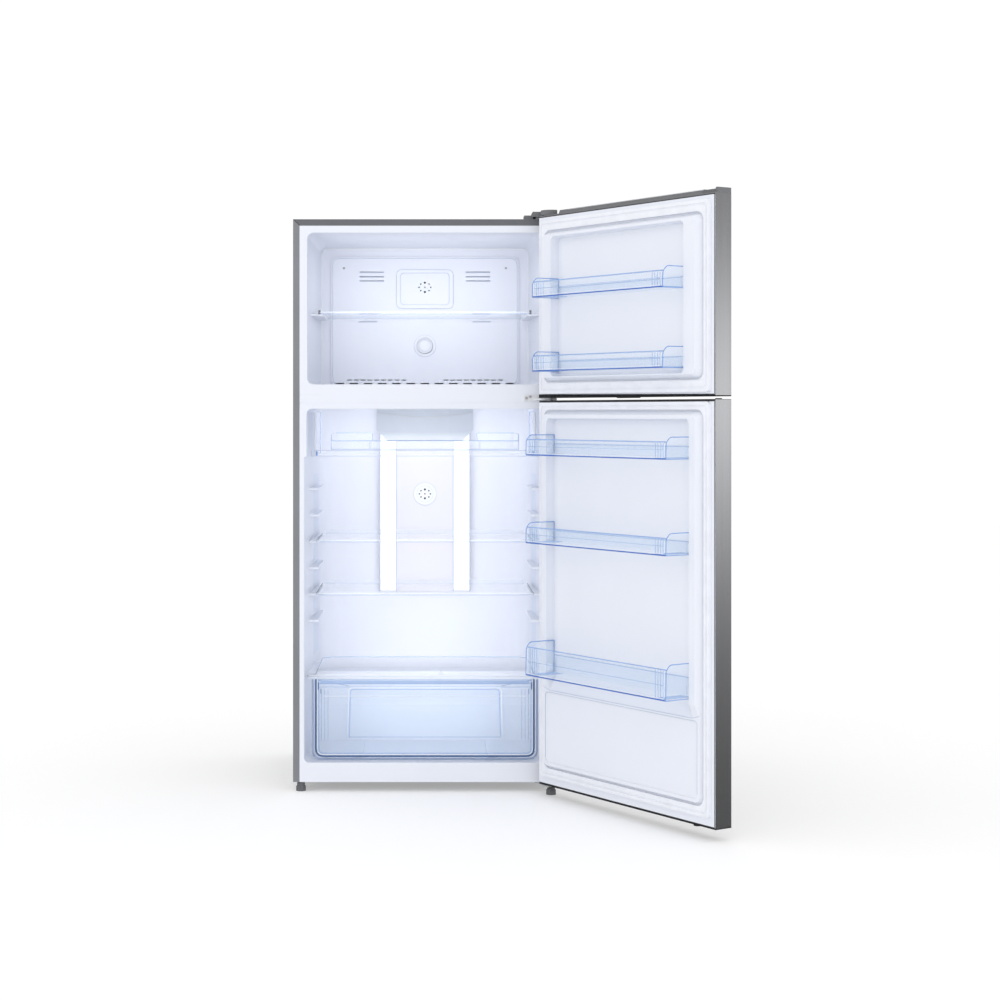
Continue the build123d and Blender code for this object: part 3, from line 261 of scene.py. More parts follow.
LAMP = glowing("lamp_diffuser", (0.86, 0.92, 1.0), 0.0)
LAMP.glow_by_height(((1.075, 0.0), (1.050, 0.24)), (0.95, 0.97, 1.0))
EDGE_DEEP = moulded("edge_deep", (0.055, 0.15, 0.55), 0.15, vary=0.9)
EDGE_BLUE = moulded("edge_blue", (0.17, 0.35, 0.76), 0.15, vary=0.9)
EDGE_NAVY = moulded("edge_navy", (0.075, 0.15, 0.34), 0.15, vary=0.9)
EDGE_PALE = clear_plastic("edge_pale", (0.48, 0.64, 0.93), 0.55, transmission=0.0)
# painted highlight: bright lines laid along edges and creases where light catches them
PAINTED_HIGHLIGHT = moulded("painted_highlight", (0.93, 0.95, 0.99), 0.12)
GLASS_EDGE = moulded("glass_edge", (0.06, 0.10, 0.11), 0.12, vary=0.9)
# dark joint lines of the mitres, and painted shade in gaps, grooves, recesses and the vent's passage
DARK_SEAM_AND_SHADE = moulded("seam_and_painted_shade", (0.05, 0.05, 0.055), 0.6, vary=0.9)
# painted shade: soft darker lines drawn along steps, rims, slits and seams
SOFT_SHADE_LINE = moulded("soft_shade_line", (0.60, 0.66, 0.79), 0.5)
SHADED = moulded("shaded_white", (0.79, 0.84, 0.94), 0.4)
# painted shade: darker lines beside highlights, along creases, under lips and in the gap round the drawer
EDGE_SHADE_LINE = moulded("edge_shade_line", (0.42, 0.50, 0.68), 0.4)
# darker copy of the cabinet's paint: painted shade on the top rail's face
TOP_RAIL_SHADE = painted("top_rail", (0.185, 0.192, 0.21), 0.40)
# darker copy of the liner's white: painted shade on the duct cover
DUCT_SHADED_WHITE = moulded("duct_shaded_white", (0.80, 0.795, 0.85), 0.30)
# the middle hinge's own bright zinc; on the top cap, a painted highlight
BRIGHT_ZINC_AND_HIGHLIGHT = painted("bright_zinc_and_highlight", (0.86, 0.87, 0.90), 0.32, bump=0.03, metallic=0.1)
# black of the freezer door's bottom cap, with painted shade in the gap under it
CAP_BLACK_AND_GAP_SHADE = moulded("cap_black_and_gap_shade", (0.012, 0.012, 0.014), 0.6, vary=0.9)
# painted shade along the bends of the back sheet's channels
PRESSED_EDGE_SHADE = painted("pressed_edge_shade", (0.20, 0.205, 0.21), 0.5)
SPECIAL = {"lamp_cover": LAMP, "duct_cover": DUCT_SHADED_WHITE, "middle_hinge": BRIGHT_ZINC_AND_HIGHLIGHT}


# ---------------------------------------------------------------- CAD nodes
# width of the eased edges of each node
EASED = {
    "freezer_liner": 0.0016, "fridge_liner": 0.0016, "mullion_front": 0.0006,
    "evaporator_cover": 0.0012, "temperature_dial": 0.0010,
    "duct_cover": 0.0010, "duct_vent": 0.0006, "light_strips": 0.0008, "lamp_cover": 0.0020,
    "chiller_shelf": 0.0006, "chiller_brackets": 0.0005, "chiller_tray": 0.0006,
    "crisper_drawer": 0.0008, "crisper_cover_frame": 0.0015, "humidity_slider": 0.0006,
    "base_frame": 0.0006, "compressor_cover": 0.0004, "drip_tray": 0.0008,
    "left_foot": 0.0008, "right_foot": 0.0008, "left_roller": 0.0008, "right_roller": 0.0008,
    "upper_hinge": 0.0006, "upper_hinge_cover": 0.0020, "middle_hinge": 0.0008, "lower_hinge": 0.0006,
    "freezer_door_top_cap": 0.0012, "freezer_door_bottom_cap": 0.0010,
    "fridge_door_top_cap": 0.0010, "fridge_door_bottom_cap": 0.0010,
    "freezer_door_liner": 0.0014, "fridge_door_liner": 0.0014,
    "freezer_door_gasket": 0.0008, "fridge_door_gasket": 0.0008,
}
BINS = [name for name in NODES if "_bin_" in name]
EASED.update(dict.fromkeys(BINS, 0.0006))
WELD_WITHIN = 0.00001
EASE_ABOVE = radians(35)           # edges sharper than this are eased
SMOOTH_BELOW = radians(40)         # edges of new pieces softer than this are shaded smooth


def dress_cad_nodes():
    """Give every CAD node its procedural material, and those listed in EASED slightly eased edges; clear ones
    other than the crisper drawer cast no shadow.
    """
    for name, obj in NODES.items():
        shade = SPECIAL.get(name, SHADES[SLOT_OF[name]])
        obj.data.materials.clear()
        obj.data.materials.append(shade.mat)
        if name in EASED:
            join = obj.modifiers.new("join", "WELD")
            join.merge_threshold = WELD_WITHIN
            ease = obj.modifiers.new("ease", "BEVEL")
            ease.width = EASED[name]
            ease.segments = 2
            ease.limit_method = "ANGLE"
            ease.angle_limit = EASE_ABOVE
            level = obj.modifiers.new("level", "WEIGHTED_NORMAL")
            level.mode = "FACE_AREA"
            level.weight = 60
            level.keep_sharp = True
        see_through = "clear" in SLOT_OF[name] or "glass" in SLOT_OF[name]
        if see_through and name != "crisper_drawer":
            obj.visible_shadow = False


dress_cad_nodes()


# ---------------------------------------------------------------- mesh helpers
def add_piece(name, parts, slot, body, shade=None):
    """One object from several (points, faces) parts, with its material and its body."""
    points, faces = [], []
    for more, their in parts:
        first = len(points)
        points.extend(more)
        faces.extend([[first + i for i in face] for face in their])
    mesh = bpy.data.meshes.new(name)
    mesh.from_pydata(points, [], faces)
    made = bmesh.new()
    made.from_mesh(mesh)
    bmesh.ops.recalc_face_normals(made, faces=made.faces)
    for edge in made.edges:
        edge.smooth = len(edge.link_faces) == 2 and edge.calc_face_angle(0) < SMOOTH_BELOW
    for face in made.faces:
        face.smooth = True
    made.to_mesh(mesh)
    made.free()
    mesh.materials.append((shade or SHADES[slot]).mat)
    obj = bpy.data.objects.new(name, mesh)
    bpy.context.scene.collection.objects.link(obj)
    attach(obj, body)
    return obj


def bent(points, radius, steps=5, closed=False):
    """Straight runs with each corner turned into a short curve."""
    points = [Vector(p) for p in points]
    count = len(points)
    path = []
    for i, point in enumerate(points):
        if not closed and i in (0, count - 1):
            path.append(point)
            continue
        back = points[i - 1] - point
        ahead = points[(i + 1) % count] - point
        reach = min(radius, 0.45 * back.length, 0.45 * ahead.length)
        start = point + back.normalized() * reach
        end = point + ahead.normalized() * reach
        for k in range(steps + 1):
            t = k / steps
            path.append(start * (1 - t) ** 2 + point * 2 * t * (1 - t) + end * t * t)
    return path


def bead(path, radius, closed=False, sides=8, place=inside):
    """Round bar along a path of (x, depth, z) points."""
    path = [place(*p) for p in path]
    points, faces = [], []
    count = len(path)
    last = count - 1
    for i, spot in enumerate(path):
        before = path[i - 1] if closed or i > 0 else path[i]
        after = path[(i + 1) % count] if closed or i < last else path[i]
        ahead = (after - before).normalized()
        aid = Vector((0, 0, 1)) if abs(ahead.z) < 0.9 else Vector((0, 1, 0))
        side = ahead.cross(aid).normalized()
        top = side.cross(ahead)
        for k in range(sides):
            turn = 2 * pi * k / sides
            points.append(spot + (side * cos(turn) + top * sin(turn)) * radius)
    for i in range(count if closed else last):
        for k in range(sides):
            a = i * sides + k
            b = i * sides + (k + 1) % sides
            c = ((i + 1) % count) * sides + (k + 1) % sides
            d = ((i + 1) % count) * sides + k
            faces.append([a, b, c, d])
    if not closed:
        faces.append(list(range(sides))[::-1])
        faces.append([last * sides + k for k in range(sides)])
    return points, faces


def hull(points):
    """Convex solid around the points."""
    made = bmesh.new()
    for point in points:
        made.verts.new(point)
    skin = bmesh.ops.convex_hull(made, input=made.verts[:])
    loose = [g for g in skin["geom_interior"] if isinstance(g, bmesh.types.BMVert)]
    bmesh.ops.delete(made, geom=loose, context="VERTS")
    made.verts.index_update()
    result = [v.co.copy() for v in made.verts], [[v.index for v in f.verts] for f in made.faces]
    made.free()
    return result


def bar(low, high, ease=0.0004, place=inside):
    """Small box with eased edges between two (x, depth, z) corners."""
    points = []
    for skip in range(3):
        inset = [0.0 if i == skip else ease for i in range(3)]
        for pick in range(8):
            spot = [high[i] - inset[i] if pick >> i & 1 else low[i] + inset[i] for i in range(3)]
            points.append(place(*spot))
    return hull(points)


def lathe(profile, centre, axis, sides=32):
    """Turn (radius, along) points about an axis through centre."""
    axis = Vector(axis).normalized()
    aid = Vector((1, 0, 0)) if abs(axis.x) < 0.9 else Vector((0, 0, 1))
    u = axis.cross(aid).normalized()
    v = axis.cross(u)
    centre = Vector(centre)
    points, faces = [], []
    for radius, along in profile:
        for k in range(sides):
            turn = 2 * pi * k / sides
            points.append(centre + axis * along + (u * cos(turn) + v * sin(turn)) * radius)
    for i in range(len(profile) - 1):
        for k in range(sides):
            a = i * sides + k
            b = i * sides + (k + 1) % sides
            faces.append([a, b, b + sides, a + sides])
    faces.append(list(range(sides))[::-1])
    faces.append([(len(profile) - 1) * sides + k for k in range(sides)])
    return points, faces


# ---------------------------------------------------------------- shapes that repeat
def level_bead(left, right, depth, z, radius, place=inside):
    """Bead that runs level from left to right."""
    return bead([(left, depth, z), (right, depth, z)], radius, place=place)


def upright_bead(x, depth, start, end, radius, place=inside):
    """Bead that runs straight up or down between two heights."""
    return bead([(x, depth, start), (x, depth, end)], radius, place=place)


def three_sides(half, depth, ends, across):
    """Rectangle that faces the front, open at the height of its ends."""
    return [(-half, depth, ends), (-half, depth, across), (half, depth, across), (half, depth, ends)]


def rounded_loop(half, z, depth, radius):
    """Closed rectangle with round corners that faces the front."""
    path = [(-half, depth, z[0]), (half, depth, z[0]), (half, depth, z[1]), (-half, depth, z[1])]
    return bent(path, radius, closed=True)


def round_loop(radius, depth, z, steps=48):
    """Circle in a plane that faces the front."""
    turns = [2 * pi * k / steps for k in range(steps)]
    return [(radius * cos(turn), depth, z + radius * sin(turn)) for turn in turns]


# ---------------------------------------------------------------- door bins
RIB_STEP = 0.011
RIB_HALF = 0.0006                  # half a rib's thickness
RIB_EASE = 0.0002


def bin_details(name):
    """Dark and blue edges of one clear bin, painted highlights along its edges, its ribs and the lines across
    its front.
    """
    low, high = extent(name, shut=True)
    half, back, front, foot, top = high.x, low.y, high.y, low.z, high.z
    lip = top - 0.0145
    face = front - 0.0042              # inner side of the front wall

    def door_bar(a, b, ease=0.0004):
        return bar(a, b, ease, place=on_door)

    def door_bead(path, radius):
        return bead(path, radius, place=on_door)

    def along(inset, depth, z, radius):
        """Bead along the bin, an inset short of both its ends."""
        return level_bead(-half + inset, half - inset, depth, z, radius, place=on_door)

    deep = [door_bar((-half + 0.002, front - 0.0022, foot + 0.0002), (half - 0.002, front, foot + 0.0034))]
    edges = []
    for side in (-1, 1):
        x = side * (half - 0.0012)
        rear = back + 0.001
        outline = [(x, rear, top - 0.0012), (x, front - 0.016, top - 0.0012)]
        outline += [(x, front - 0.0022, top - 0.016), (x, front - 0.0012, foot + 0.002)]
        edges.append(door_bead(bent(outline, 0.008), 0.0012))
        edges.append(door_bead([(x, front - 0.002, foot + 0.0012), (x, rear, foot + 0.0012)], 0.0011))
        edges.append(door_bead([(x, rear, foot + 0.001), (x, rear, top - 0.002)], 0.0009))
    edges.append(along(0.003, front - 0.0026, lip + 0.0014, 0.0006))

    pale = [along(0.003, front - 0.0034, lip, 0.0017)]
    line = foot + 0.42 * (top - foot)
    reach = half - 0.012
    pale.append(door_bar((-reach, front - 0.0016, line), (reach, front - 0.0002, line + 0.0014)))
    pale.append(along(0.004, back + 0.0012, foot + 0.55 * (top - foot), 0.0012))
    for side in (-1, 1):
        for k in range(4):
            x = side * (half - 0.016 - RIB_STEP * k)
            left, right = x - RIB_HALF, x + RIB_HALF
            pale.append(door_bar((left, face - 0.0022, foot + 0.004), (right, face, lip - 0.003), RIB_EASE))
            pale.append(door_bar((left, back + 0.006, foot + 0.0024), (right, face, foot + 0.0046), RIB_EASE))

    # shine: painted highlights along the bin's front ends and foot
    shine = []
    for side in (-1, 1):
        x = side * (half - 0.0075)
        shine.append(door_bead([(x, front - 0.0004, foot + 0.008), (x, front - 0.0012, lip - 0.006)], 0.0008))
    shine.append(along(0.01, front - 0.0010, foot + 0.0062, 0.0008))
    add_piece(name + "_deep_edge", deep, "clear_blue", name, EDGE_DEEP)
    add_piece(name + "_edges", edges, "clear_blue", name, EDGE_BLUE)
    add_piece(name + "_ribs", pale, "clear_blue", name, EDGE_PALE)
    add_piece(name + "_shine", shine, "clear_blue", name, PAINTED_HIGHLIGHT)


for bin_name in BINS:
    bin_details(bin_name)


# ---------------------------------------------------------------- vegetable drawer and its cover
def crisper_details():
    """Outlines, ribs, clips and upper band of the drawer, its painted highlights, and painted shadow in the
    gap between the drawer and the liner's edge round it.
    """
    low, high = extent("crisper_drawer")
    half = high.x
    front = low.y + 0.008              # the face, behind the grip that stands out of it
    top = 0.331                        # the face's upper edge
    far = high.y - 0.0045              # the back wall, seen through the face
    far_half, far_top = 0.243, 0.258
    far_corner = 0.012

    def ring(inset, radius, depth):
        """U outline of the drawer's front, closed at the bottom."""
        path = three_sides(half - inset, depth, top, low.z + inset)
        return bead(bent(path, 0.026 - inset), radius)

    dark = [ring(0.0024, 0.0026, front + 0.0010)]
    blue = [ring(0.0115, 0.0007, front)]
    # white: painted highlights along the face, the far wall's outline and the grip
    white = [ring(0.0070, 0.0013, front - 0.0003)]
    outline = [(far_half + 0.004, far, low.z + 0.008), (far_half, far, far_top)]
    outline += [(-far_half, far, far_top), (-far_half - 0.004, far, low.z + 0.008)]
    white.append(bead(bent(outline, far_corner), 0.0026))
    inner = [(x * 0.975, depth, z - 0.005) for x, depth, z in outline]
    blue.append(bead(bent(inner, far_corner), 0.0008))
    pale = [level_bead(-far_half, far_half, far, low.z + 0.004, 0.0010)]
    for side in (-1, 1):
        pale.append(bead([(side * 0.326, front + 0.006, top - 0.002), (side * 0.245, far, 0.264)], 0.0013))
        for k in range(3):
            pale.append(upright_bead(side * (0.292 + 0.010 * k), front + 0.002, 0.150, 0.300, 0.0007))
        clip = side * 0.3215
        dark.append(bar((clip - 0.0014, front - 0.0006, 0.300), (clip + 0.0014, front + 0.002, 0.322)))
        dark.append(upright_bead(side * 0.3135, front, 0.303, 0.288, 0.0008))
    for z in (0.3295, 0.318, 0.308):
        pale.append(level_bead(-half + 0.004, half - 0.004, front - 0.0002, z, 0.0009))
    white.append(level_bead(-0.304, 0.304, front - 0.0076, 0.2815, 0.0008))
    pale.append(bar((-half + 0.016, front - 0.0004, 0.3165), (half - 0.016, front - 0.0001, 0.3275), 0.0001))
    # dark bead on the liner round the drawer: painted shadow in the gap
    gap_shadow = bent(three_sides(half + 0.0075, 0.042, 0.330, low.z - 0.0065), 0.026)
    add_piece("crisper_gap_shadow", [bead(gap_shadow, 0.0030)], "liner_white", "cabinet", EDGE_SHADE_LINE)
    add_piece("crisper_dark_edge", dark, "clear_blue", "crisper_drawer", EDGE_NAVY)
    add_piece("crisper_blue_edge", blue, "clear_blue", "crisper_drawer", EDGE_BLUE)
    add_piece("crisper_bright_edge", white, "clear_blue", "crisper_drawer", PAINTED_HIGHLIGHT)
    add_piece("crisper_ribs", pale, "clear_blue", "crisper_drawer", EDGE_PALE)


def cover_details():
    """Painted highlights along the front lips, and the glass edges of the drawer's cover."""
    low, high = extent("crisper_cover_frame")
    left, right = low.x + 0.004, high.x - 0.004
    lip = [level_bead(left, right, low.y, high.z - 0.002, 0.0010)]
    lip.append(level_bead(left, right, low.y, low.z + 0.002, 0.0008))
    add_piece("crisper_cover_lip", lip, "clear", "cabinet", PAINTED_HIGHLIGHT)
    low, high = extent("crisper_cover_glass")
    z = (low.z + high.z) / 2
    ear, half, far_half = 0.3535, 0.331, 0.300
    middle, far = 0.22, 0.4975         # depths where the dark edge ends and where the glass ends
    sides, rim = [], []
    for side in (-1, 1):
        path = [(side * ear, 0.046, z), (side * ear, 0.058, z)]
        path += [(side * half, 0.066, z), (side * half, middle, z)]
        sides.append(bead(bent(path, 0.006), 0.0014))
        path = [(side * half, middle, z), (side * half, 0.468, z), (side * far_half, far, z)]
        rim.append(bead(path, 0.0012))
    rim.append(level_bead(-far_half, far_half, far, z, 0.0012))
    add_piece("crisper_glass_edge", sides, "shelf_glass", "cabinet", GLASS_EDGE)
    add_piece("crisper_glass_rim", rim, "shelf_glass", "cabinet", EDGE_PALE)


# ---------------------------------------------------------------- glass shelves
def shelf_details(shelf):
    """Dark side edges of the glass, painted shade along its rear edge, a painted highlight and painted shade
    along the trim's front lips, and the corner clips.
    """
    low, high = extent(shelf + "_glass")
    z = (low.z + high.z) / 2
    glass = []
    for side in (-1, 1):
        x = side * (high.x - 0.0006)
        glass.append(bar((x - 0.0008, low.y + 0.008, z - 0.0019), (x + 0.0008, high.y - 0.006, z + 0.0019)))
    rear = level_bead(low.x + 0.003, high.x - 0.003, high.y - 0.001, high.z - 0.0006, 0.0007)
    add_piece(shelf + "_glass_edge", glass, "shelf_glass", shelf, GLASS_EDGE)
    add_piece(shelf + "_rear_edge", [rear], "shelf_glass", shelf, SOFT_SHADE_LINE)
    low, high = extent(shelf + "_trim")
    left, right, front = low.x + 0.002, high.x - 0.002, low.y + 0.0003
    bright = level_bead(left, right, front, low.z + 0.0066, 0.0006)
    dim = level_bead(left, right, front, low.z + 0.0012, 0.0009)
    add_piece(shelf + "_lip", [bright], "clear", shelf, PAINTED_HIGHLIGHT)
    add_piece(shelf + "_under_lip", [dim], "clear", shelf, EDGE_SHADE_LINE)
    if shelf == "freezer_shelf":
        clips = []
        for side in (-1, 1):
            x = side * (high.x - 0.003)
            left, right = x - 0.003, x + 0.003
            clips.append(bar((left, low.y, low.z), (right, low.y + 0.007, low.z + 0.010)))
            clips.append(bar((left, low.y, low.z + 0.008), (right, low.y + 0.016, low.z + 0.0125)))
        add_piece("freezer_shelf_clips", clips, "grey_plastic", shelf)


# ---------------------------------------------------------------- chiller
def chiller_tray_details():
    """Edges of the tray's walls and partitions."""
    low, high = extent("chiller_tray")
    partition = 0.168                  # also where the cut in the back wall ends
    ledge = 1.043                      # upper edge of the partitions and of that cut
    lip = 1.0485                       # upper edge of the front wall
    rim = high.z - 0.001
    far = high.y - 0.001
    front = low.y + 0.002
    lines = []
    for side in (-1, 1):
        x = side * (high.x - 0.001)
        path = [(x, low.y + 0.001, low.z + 0.002), (x, low.y + 0.001, lip)]
        path += [(x, low.y + 0.006, rim), (x, far, rim)]
        lines.append(bead(bent(path, 0.003), 0.0011))
        mid = side * partition
        lines.append(upright_bead(mid, front, low.z + 0.002, ledge + 0.001, 0.0009))
        lines.append(bead([(mid, front, ledge), (mid, high.y - 0.002, ledge)], 0.0009))
        lines.append(bead(bent([(mid, far, ledge), (mid, far, rim), (x, far, rim)], 0.004), 0.0011))
    lines.append(level_bead(-high.x, high.x, low.y + 0.001, lip, 0.0011))
    lines.append(level_bead(-high.x, high.x, low.y, low.z + 0.0015, 0.0009))
    add_piece("chiller_tray_beads", lines, "clear", "chiller_tray", EDGE_PALE)


def chiller_shelf_details():
    """Thin lines of painted shade round the shelf's front edge."""
    low, high = extent("chiller_shelf")
    bottom, top = low.z + 0.001, high.z - 0.001
    lines = []
    for z in (bottom, top):
        lines.append(level_bead(low.x + 0.003, high.x - 0.003, low.y + 0.0003, z, 0.0009))
    for side in (-1, 1):
        lines.append(upright_bead(side * (high.x - 0.001), low.y + 0.0005, bottom, top, 0.0009))
    add_piece("chiller_shelf_beads", lines, "clear", "cabinet", SOFT_SHADE_LINE)


def chiller_bracket_details():
    """Painted highlight on each bracket's front edge between two lines of painted shade, its upper and rear
    edges and its clip.
    """
    low, high = extent("chiller_brackets")
    front, rear = low.y + 0.0008, high.y - 0.001
    bottom, top = low.z + 0.004, high.z - 0.003
    bright, dim, pale, clips = [], [], [], []
    for side in (-1, 1):
        bright.append(upright_bead(side * 0.3352, front, bottom, top, 0.0027))
        for x in (0.3328, 0.3378):
            dim.append(upright_bead(side * x, front, bottom, top, 0.0007))
        x = side * 0.3347
        pale.append(bead([(x, 0.16, high.z - 0.001), (x, high.y - 0.002, high.z - 0.001)], 0.0011))
        pale.append(upright_bead(x, rear, low.z + 0.002, high.z - 0.002, 0.0011))
        clip = side * 0.3295
        clips.append(bar((clip - 0.0025, 0.1045, 1.0035), (clip + 0.0025, 0.1062, 1.0165)))
    add_piece("chiller_bracket_shine", bright, "clear", "cabinet", PAINTED_HIGHLIGHT)
    add_piece("chiller_bracket_beads", pale, "clear", "cabinet", EDGE_PALE)
    add_piece("chiller_bracket_edges", dim, "clear", "cabinet", EDGE_SHADE_LINE)
    add_piece("chiller_clips", clips, "clear", "cabinet", EDGE_BLUE)


# ---------------------------------------------------------------- freezer and fridge linings
def evaporator_cover_details():
    """Lines of painted shade along the outlines of the cover's panels, the lower edges of its slits and the
    rings of the dial, and a painted highlight along its rim.
    """
    panel = 0.472                      # depth of the raised panel
    slit = (0.4735, 0.4745)            # depths of the line in a slit
    dial_z = 1.3505
    lines = [bead(rounded_loop(0.0918, (1.4708, 1.5968), panel - 0.0002, 0.020), 0.0010, closed=True)]
    lines.append(bead(rounded_loop(0.0788, (1.4837, 1.5863), 0.4698, 0.014), 0.0009, closed=True))
    lines.append(bead(rounded_loop(0.2985, (1.2245, 1.6335), panel - 0.0001, 0.026), 0.0009, closed=True))
    for z in (1.4540, 1.4285):
        for x in (-0.1835, 0.1835):
            lines.append(bar((x - 0.0291, slit[0], z - 0.0016), (x + 0.0291, slit[1], z + 0.0014)))
    for x in (-0.172, 0.172):
        for z in (1.5886, 1.5740, 1.5600):
            lines.append(bar((x - 0.0391, slit[0], z - 0.0018), (x + 0.0391, slit[1], z + 0.0010)))
    lines.append(bead(round_loop(0.0348, panel - 0.0002, dial_z), 0.0008, closed=True))
    lines.append(bead(round_loop(0.0180, 0.4690, dial_z), 0.0010, closed=True))
    add_piece("evaporator_cover_lines", lines, "liner_white", "cabinet", SOFT_SHADE_LINE)
    edge = extent("evaporator_cover")[1]
    rim = bead(bent(three_sides(edge.x, 0.4776, 1.2215, edge.z), 0.019), 0.0022)
    add_piece("evaporator_cover_rim", [rim], "liner_white", "cabinet", PAINTED_HIGHLIGHT)


def duct_details():
    """Lines of painted shade round the duct's round vent and along the creases beside the light strips."""
    low, high = extent("duct_vent")
    z = (low.z + high.z) / 2
    rings = []
    for radius, depth in ((0.0365, low.y + 0.0002), (0.0268, low.y + 0.0008)):
        rings.append(bead(round_loop(radius, depth, z), 0.0007, closed=True))
    add_piece("duct_vent_rings", rings, "trim_white", "cabinet", SOFT_SHADE_LINE)
    depth = extent("duct_cover")[0].y - 0.0002
    creases = []
    for side in (-1, 1):
        for x in (0.0925, 0.1465):
            creases.append(upright_bead(side * x, depth, 0.553, 1.140, 0.0011))
    add_piece("duct_cover_lines", creases, "liner_white", "cabinet", EDGE_SHADE_LINE)


def side_wall(depth):
    """Half width between the fridge's side walls, which lean in towards the back."""
    mouth, lean, liner_depth = 0.362, 0.022, 0.545
    return mouth - lean * depth / liner_depth


def rack_strips():
    """Upright bands behind the shelf ledges in a darker white: painted shade that makes them look slightly
    sunken.
    """
    strips = []
    for side in (-1, 1):
        points = []
        for depth in (0.300, 0.455):
            for z in (0.372, 0.940):
                points.append(inside(side * (side_wall(depth) - 0.0004), depth, z))
                points.append(inside(side * (side_wall(depth) + 0.0006), depth, z))
        strips.append(hull(points))
    add_piece("rack_strips", strips, "liner_white", "cabinet", SHADED)


# ---------------------------------------------------------------- cabinet front and vents
def top_rail():
    """Separate steel rail across the top of the cabinet's front, mitred to the side rails, in a darker copy
    of the cabinet's paint: painted shade.
    """
    high = extent("outer_shell")[1]
    inner = 0.0193                     # the rail's height, and how far its mitres run in
    points = []
    for depth in (-0.0002, 0.0):
        for side in (-1, 1):
            points.append(inside(side * (high.x - 0.0006), depth, high.z - 0.0004))
            points.append(inside(side * (high.x - inner), depth, high.z - inner))
    add_piece("top_rail", [hull(points)], "cabinet_steel", "cabinet", TOP_RAIL_SHADE)


def vent_passage_shade():
    """Dark disc seen through the round vent's holes: painted shade of the air passage behind them."""
    low, high = extent("duct_vent")
    centre = inside(0, high.y + 0.0012, (low.z + high.z) / 2)
    disc = lathe([(0.024, 0.0), (0.024, 0.001)], centre, (0, 1, 0))
    add_piece("duct_vent_passage", [disc], "trim_white", "cabinet", DARK_SEAM_AND_SHADE)


def lamp_details():
    """Painted highlight along a bowed crease across the lamp housing's face, and a line of painted shade
    along its lower rim.
    """
    low, high = extent("lamp_cover")
    bow = [(-0.146, 0.2165), (-0.075, 0.1985), (0.0, 0.1930), (0.075, 0.1985), (0.146, 0.2165)]
    drop = [0.005, 0.0155, 0.020, 0.0155, 0.005]
    crease = [(x, depth, high.z - 0.006 - d) for (x, depth), d in zip(bow, drop)]
    add_piece("lamp_crease", [bead(bent(crease, 0.05), 0.0012)], "frosted", "cabinet", PAINTED_HIGHLIGHT)
    lower_bow = [(-0.117, 0.2085), (-0.06, 0.1965), (0.0, 0.1925), (0.06, 0.1965), (0.117, 0.2085)]
    rim = [(x, depth, low.z + 0.001) for x, depth in lower_bow]
    add_piece("lamp_rim", [bead(bent(rim, 0.05), 0.0008)], "frosted", "cabinet", SOFT_SHADE_LINE)


def corner_mitres():
    """Two thin dark lines across each upper corner, where the top rail meets the side rails."""
    high = extent("outer_shell")[1]
    mitre = 0.0182                     # how far a line runs in from the corner
    seams = []
    for side in (-1, 1):
        for inset, thick in ((0.0008, 0.0007), (0.0035, 0.0004)):
            points = []
            for depth in (-0.0003, 0.0):
                for aside in (-thick, thick):
                    x = high.x - inset + aside
                    points.append(inside(side * x, depth, high.z - 0.0008))
                    points.append(inside(side * (x - mitre), depth, high.z - 0.0008 - mitre))
            seams.append(hull(points))
    add_piece("corner_mitres", seams, "cabinet_steel", "cabinet", DARK_SEAM_AND_SHADE)


# ---------------------------------------------------------------- back of the cabinet
def screw_head(x, depth, z, radius=0.0045, high=0.0011):
    """Low pan head facing the back."""
    profile = [(radius, 0.0), (radius, high * 0.5), (radius * 0.7, high)]
    return lathe(profile, inside(x, depth, z), (0, 1, 0), 20)


def screw_slot(x, depth, z, reach, width):
    """One bar of the cross in a screw's head."""
    return bar((x - reach, depth + 0.0008, z - width), (x + reach, depth + 0.0012, z + width), 0.0001)


def machine_space_details():
    """Steel lining of the machine space, and the screws of its cover."""
    low, high = extent("compressor_cover")
    half = high.x - 0.0006
    thick = 0.0006
    foot, knee = (0.4452, 0.034), (0.4852, 0.2512)     # depth and height of the sloping lining's ends
    slope = []
    for shift_in in (0.0, thick):
        for depth, z in (foot, knee):
            slope.append(inside(-half, depth + shift_in, z))
            slope.append(inside(half, depth + shift_in, z))
    roof = bar((-half, knee[0], 0.2508), (half, high.y - 0.003, 0.2514), 0.0001)
    add_piece("machine_space_lining", [hull(slope), roof], "zinc_steel", "cabinet")
    heads, slots = [], []
    long, short = 0.0026, 0.0004       # half the sides of a slot
    for x in (-half + 0.009, -0.11, 0.11, half - 0.009):
        for z in (low.z + 0.010, high.z - 0.010):
            heads.append(screw_head(x, high.y, z))
            slots.append(screw_slot(x, high.y, z, long, short))
            slots.append(screw_slot(x, high.y, z, short, long))
    add_piece("back_cover_screws", heads, "screw_steel", "cabinet")
    # the crosses are dark: painted shade in the recesses of the heads
    add_piece("back_cover_screw_slots", slots, "screw_steel", "cabinet", DARK_SEAM_AND_SHADE)


def rear_panel_details():
    """Lines of painted shade along the edges of the back sheet's three pressed channels."""
    high = extent("rear_panel")[1]
    depth = high.y - 0.0004
    half = 0.0447
    bottom, top = 0.3725, high.z - 0.1205
    lines = []
    for x in (-0.210, 0.0, 0.210):
        for edge in (-half, half):
            lines.append(upright_bead(x + edge, depth, bottom, top, 0.0004))
        for z in (bottom, top):
            lines.append(level_bead(x - half, x + half, depth, z, 0.0004))
    add_piece("rear_panel_channels", lines, "back_steel", "cabinet", PRESSED_EDGE_SHADE)


# ---------------------------------------------------------------- doors
LINER_FACE = 0.006                 # depth of the lower door's flat panel, behind the cabinet's front plane
LINER_HALF = 0.3874                # from a door's middle to the gap beside its liner
GAP_DEPTH = -0.0112


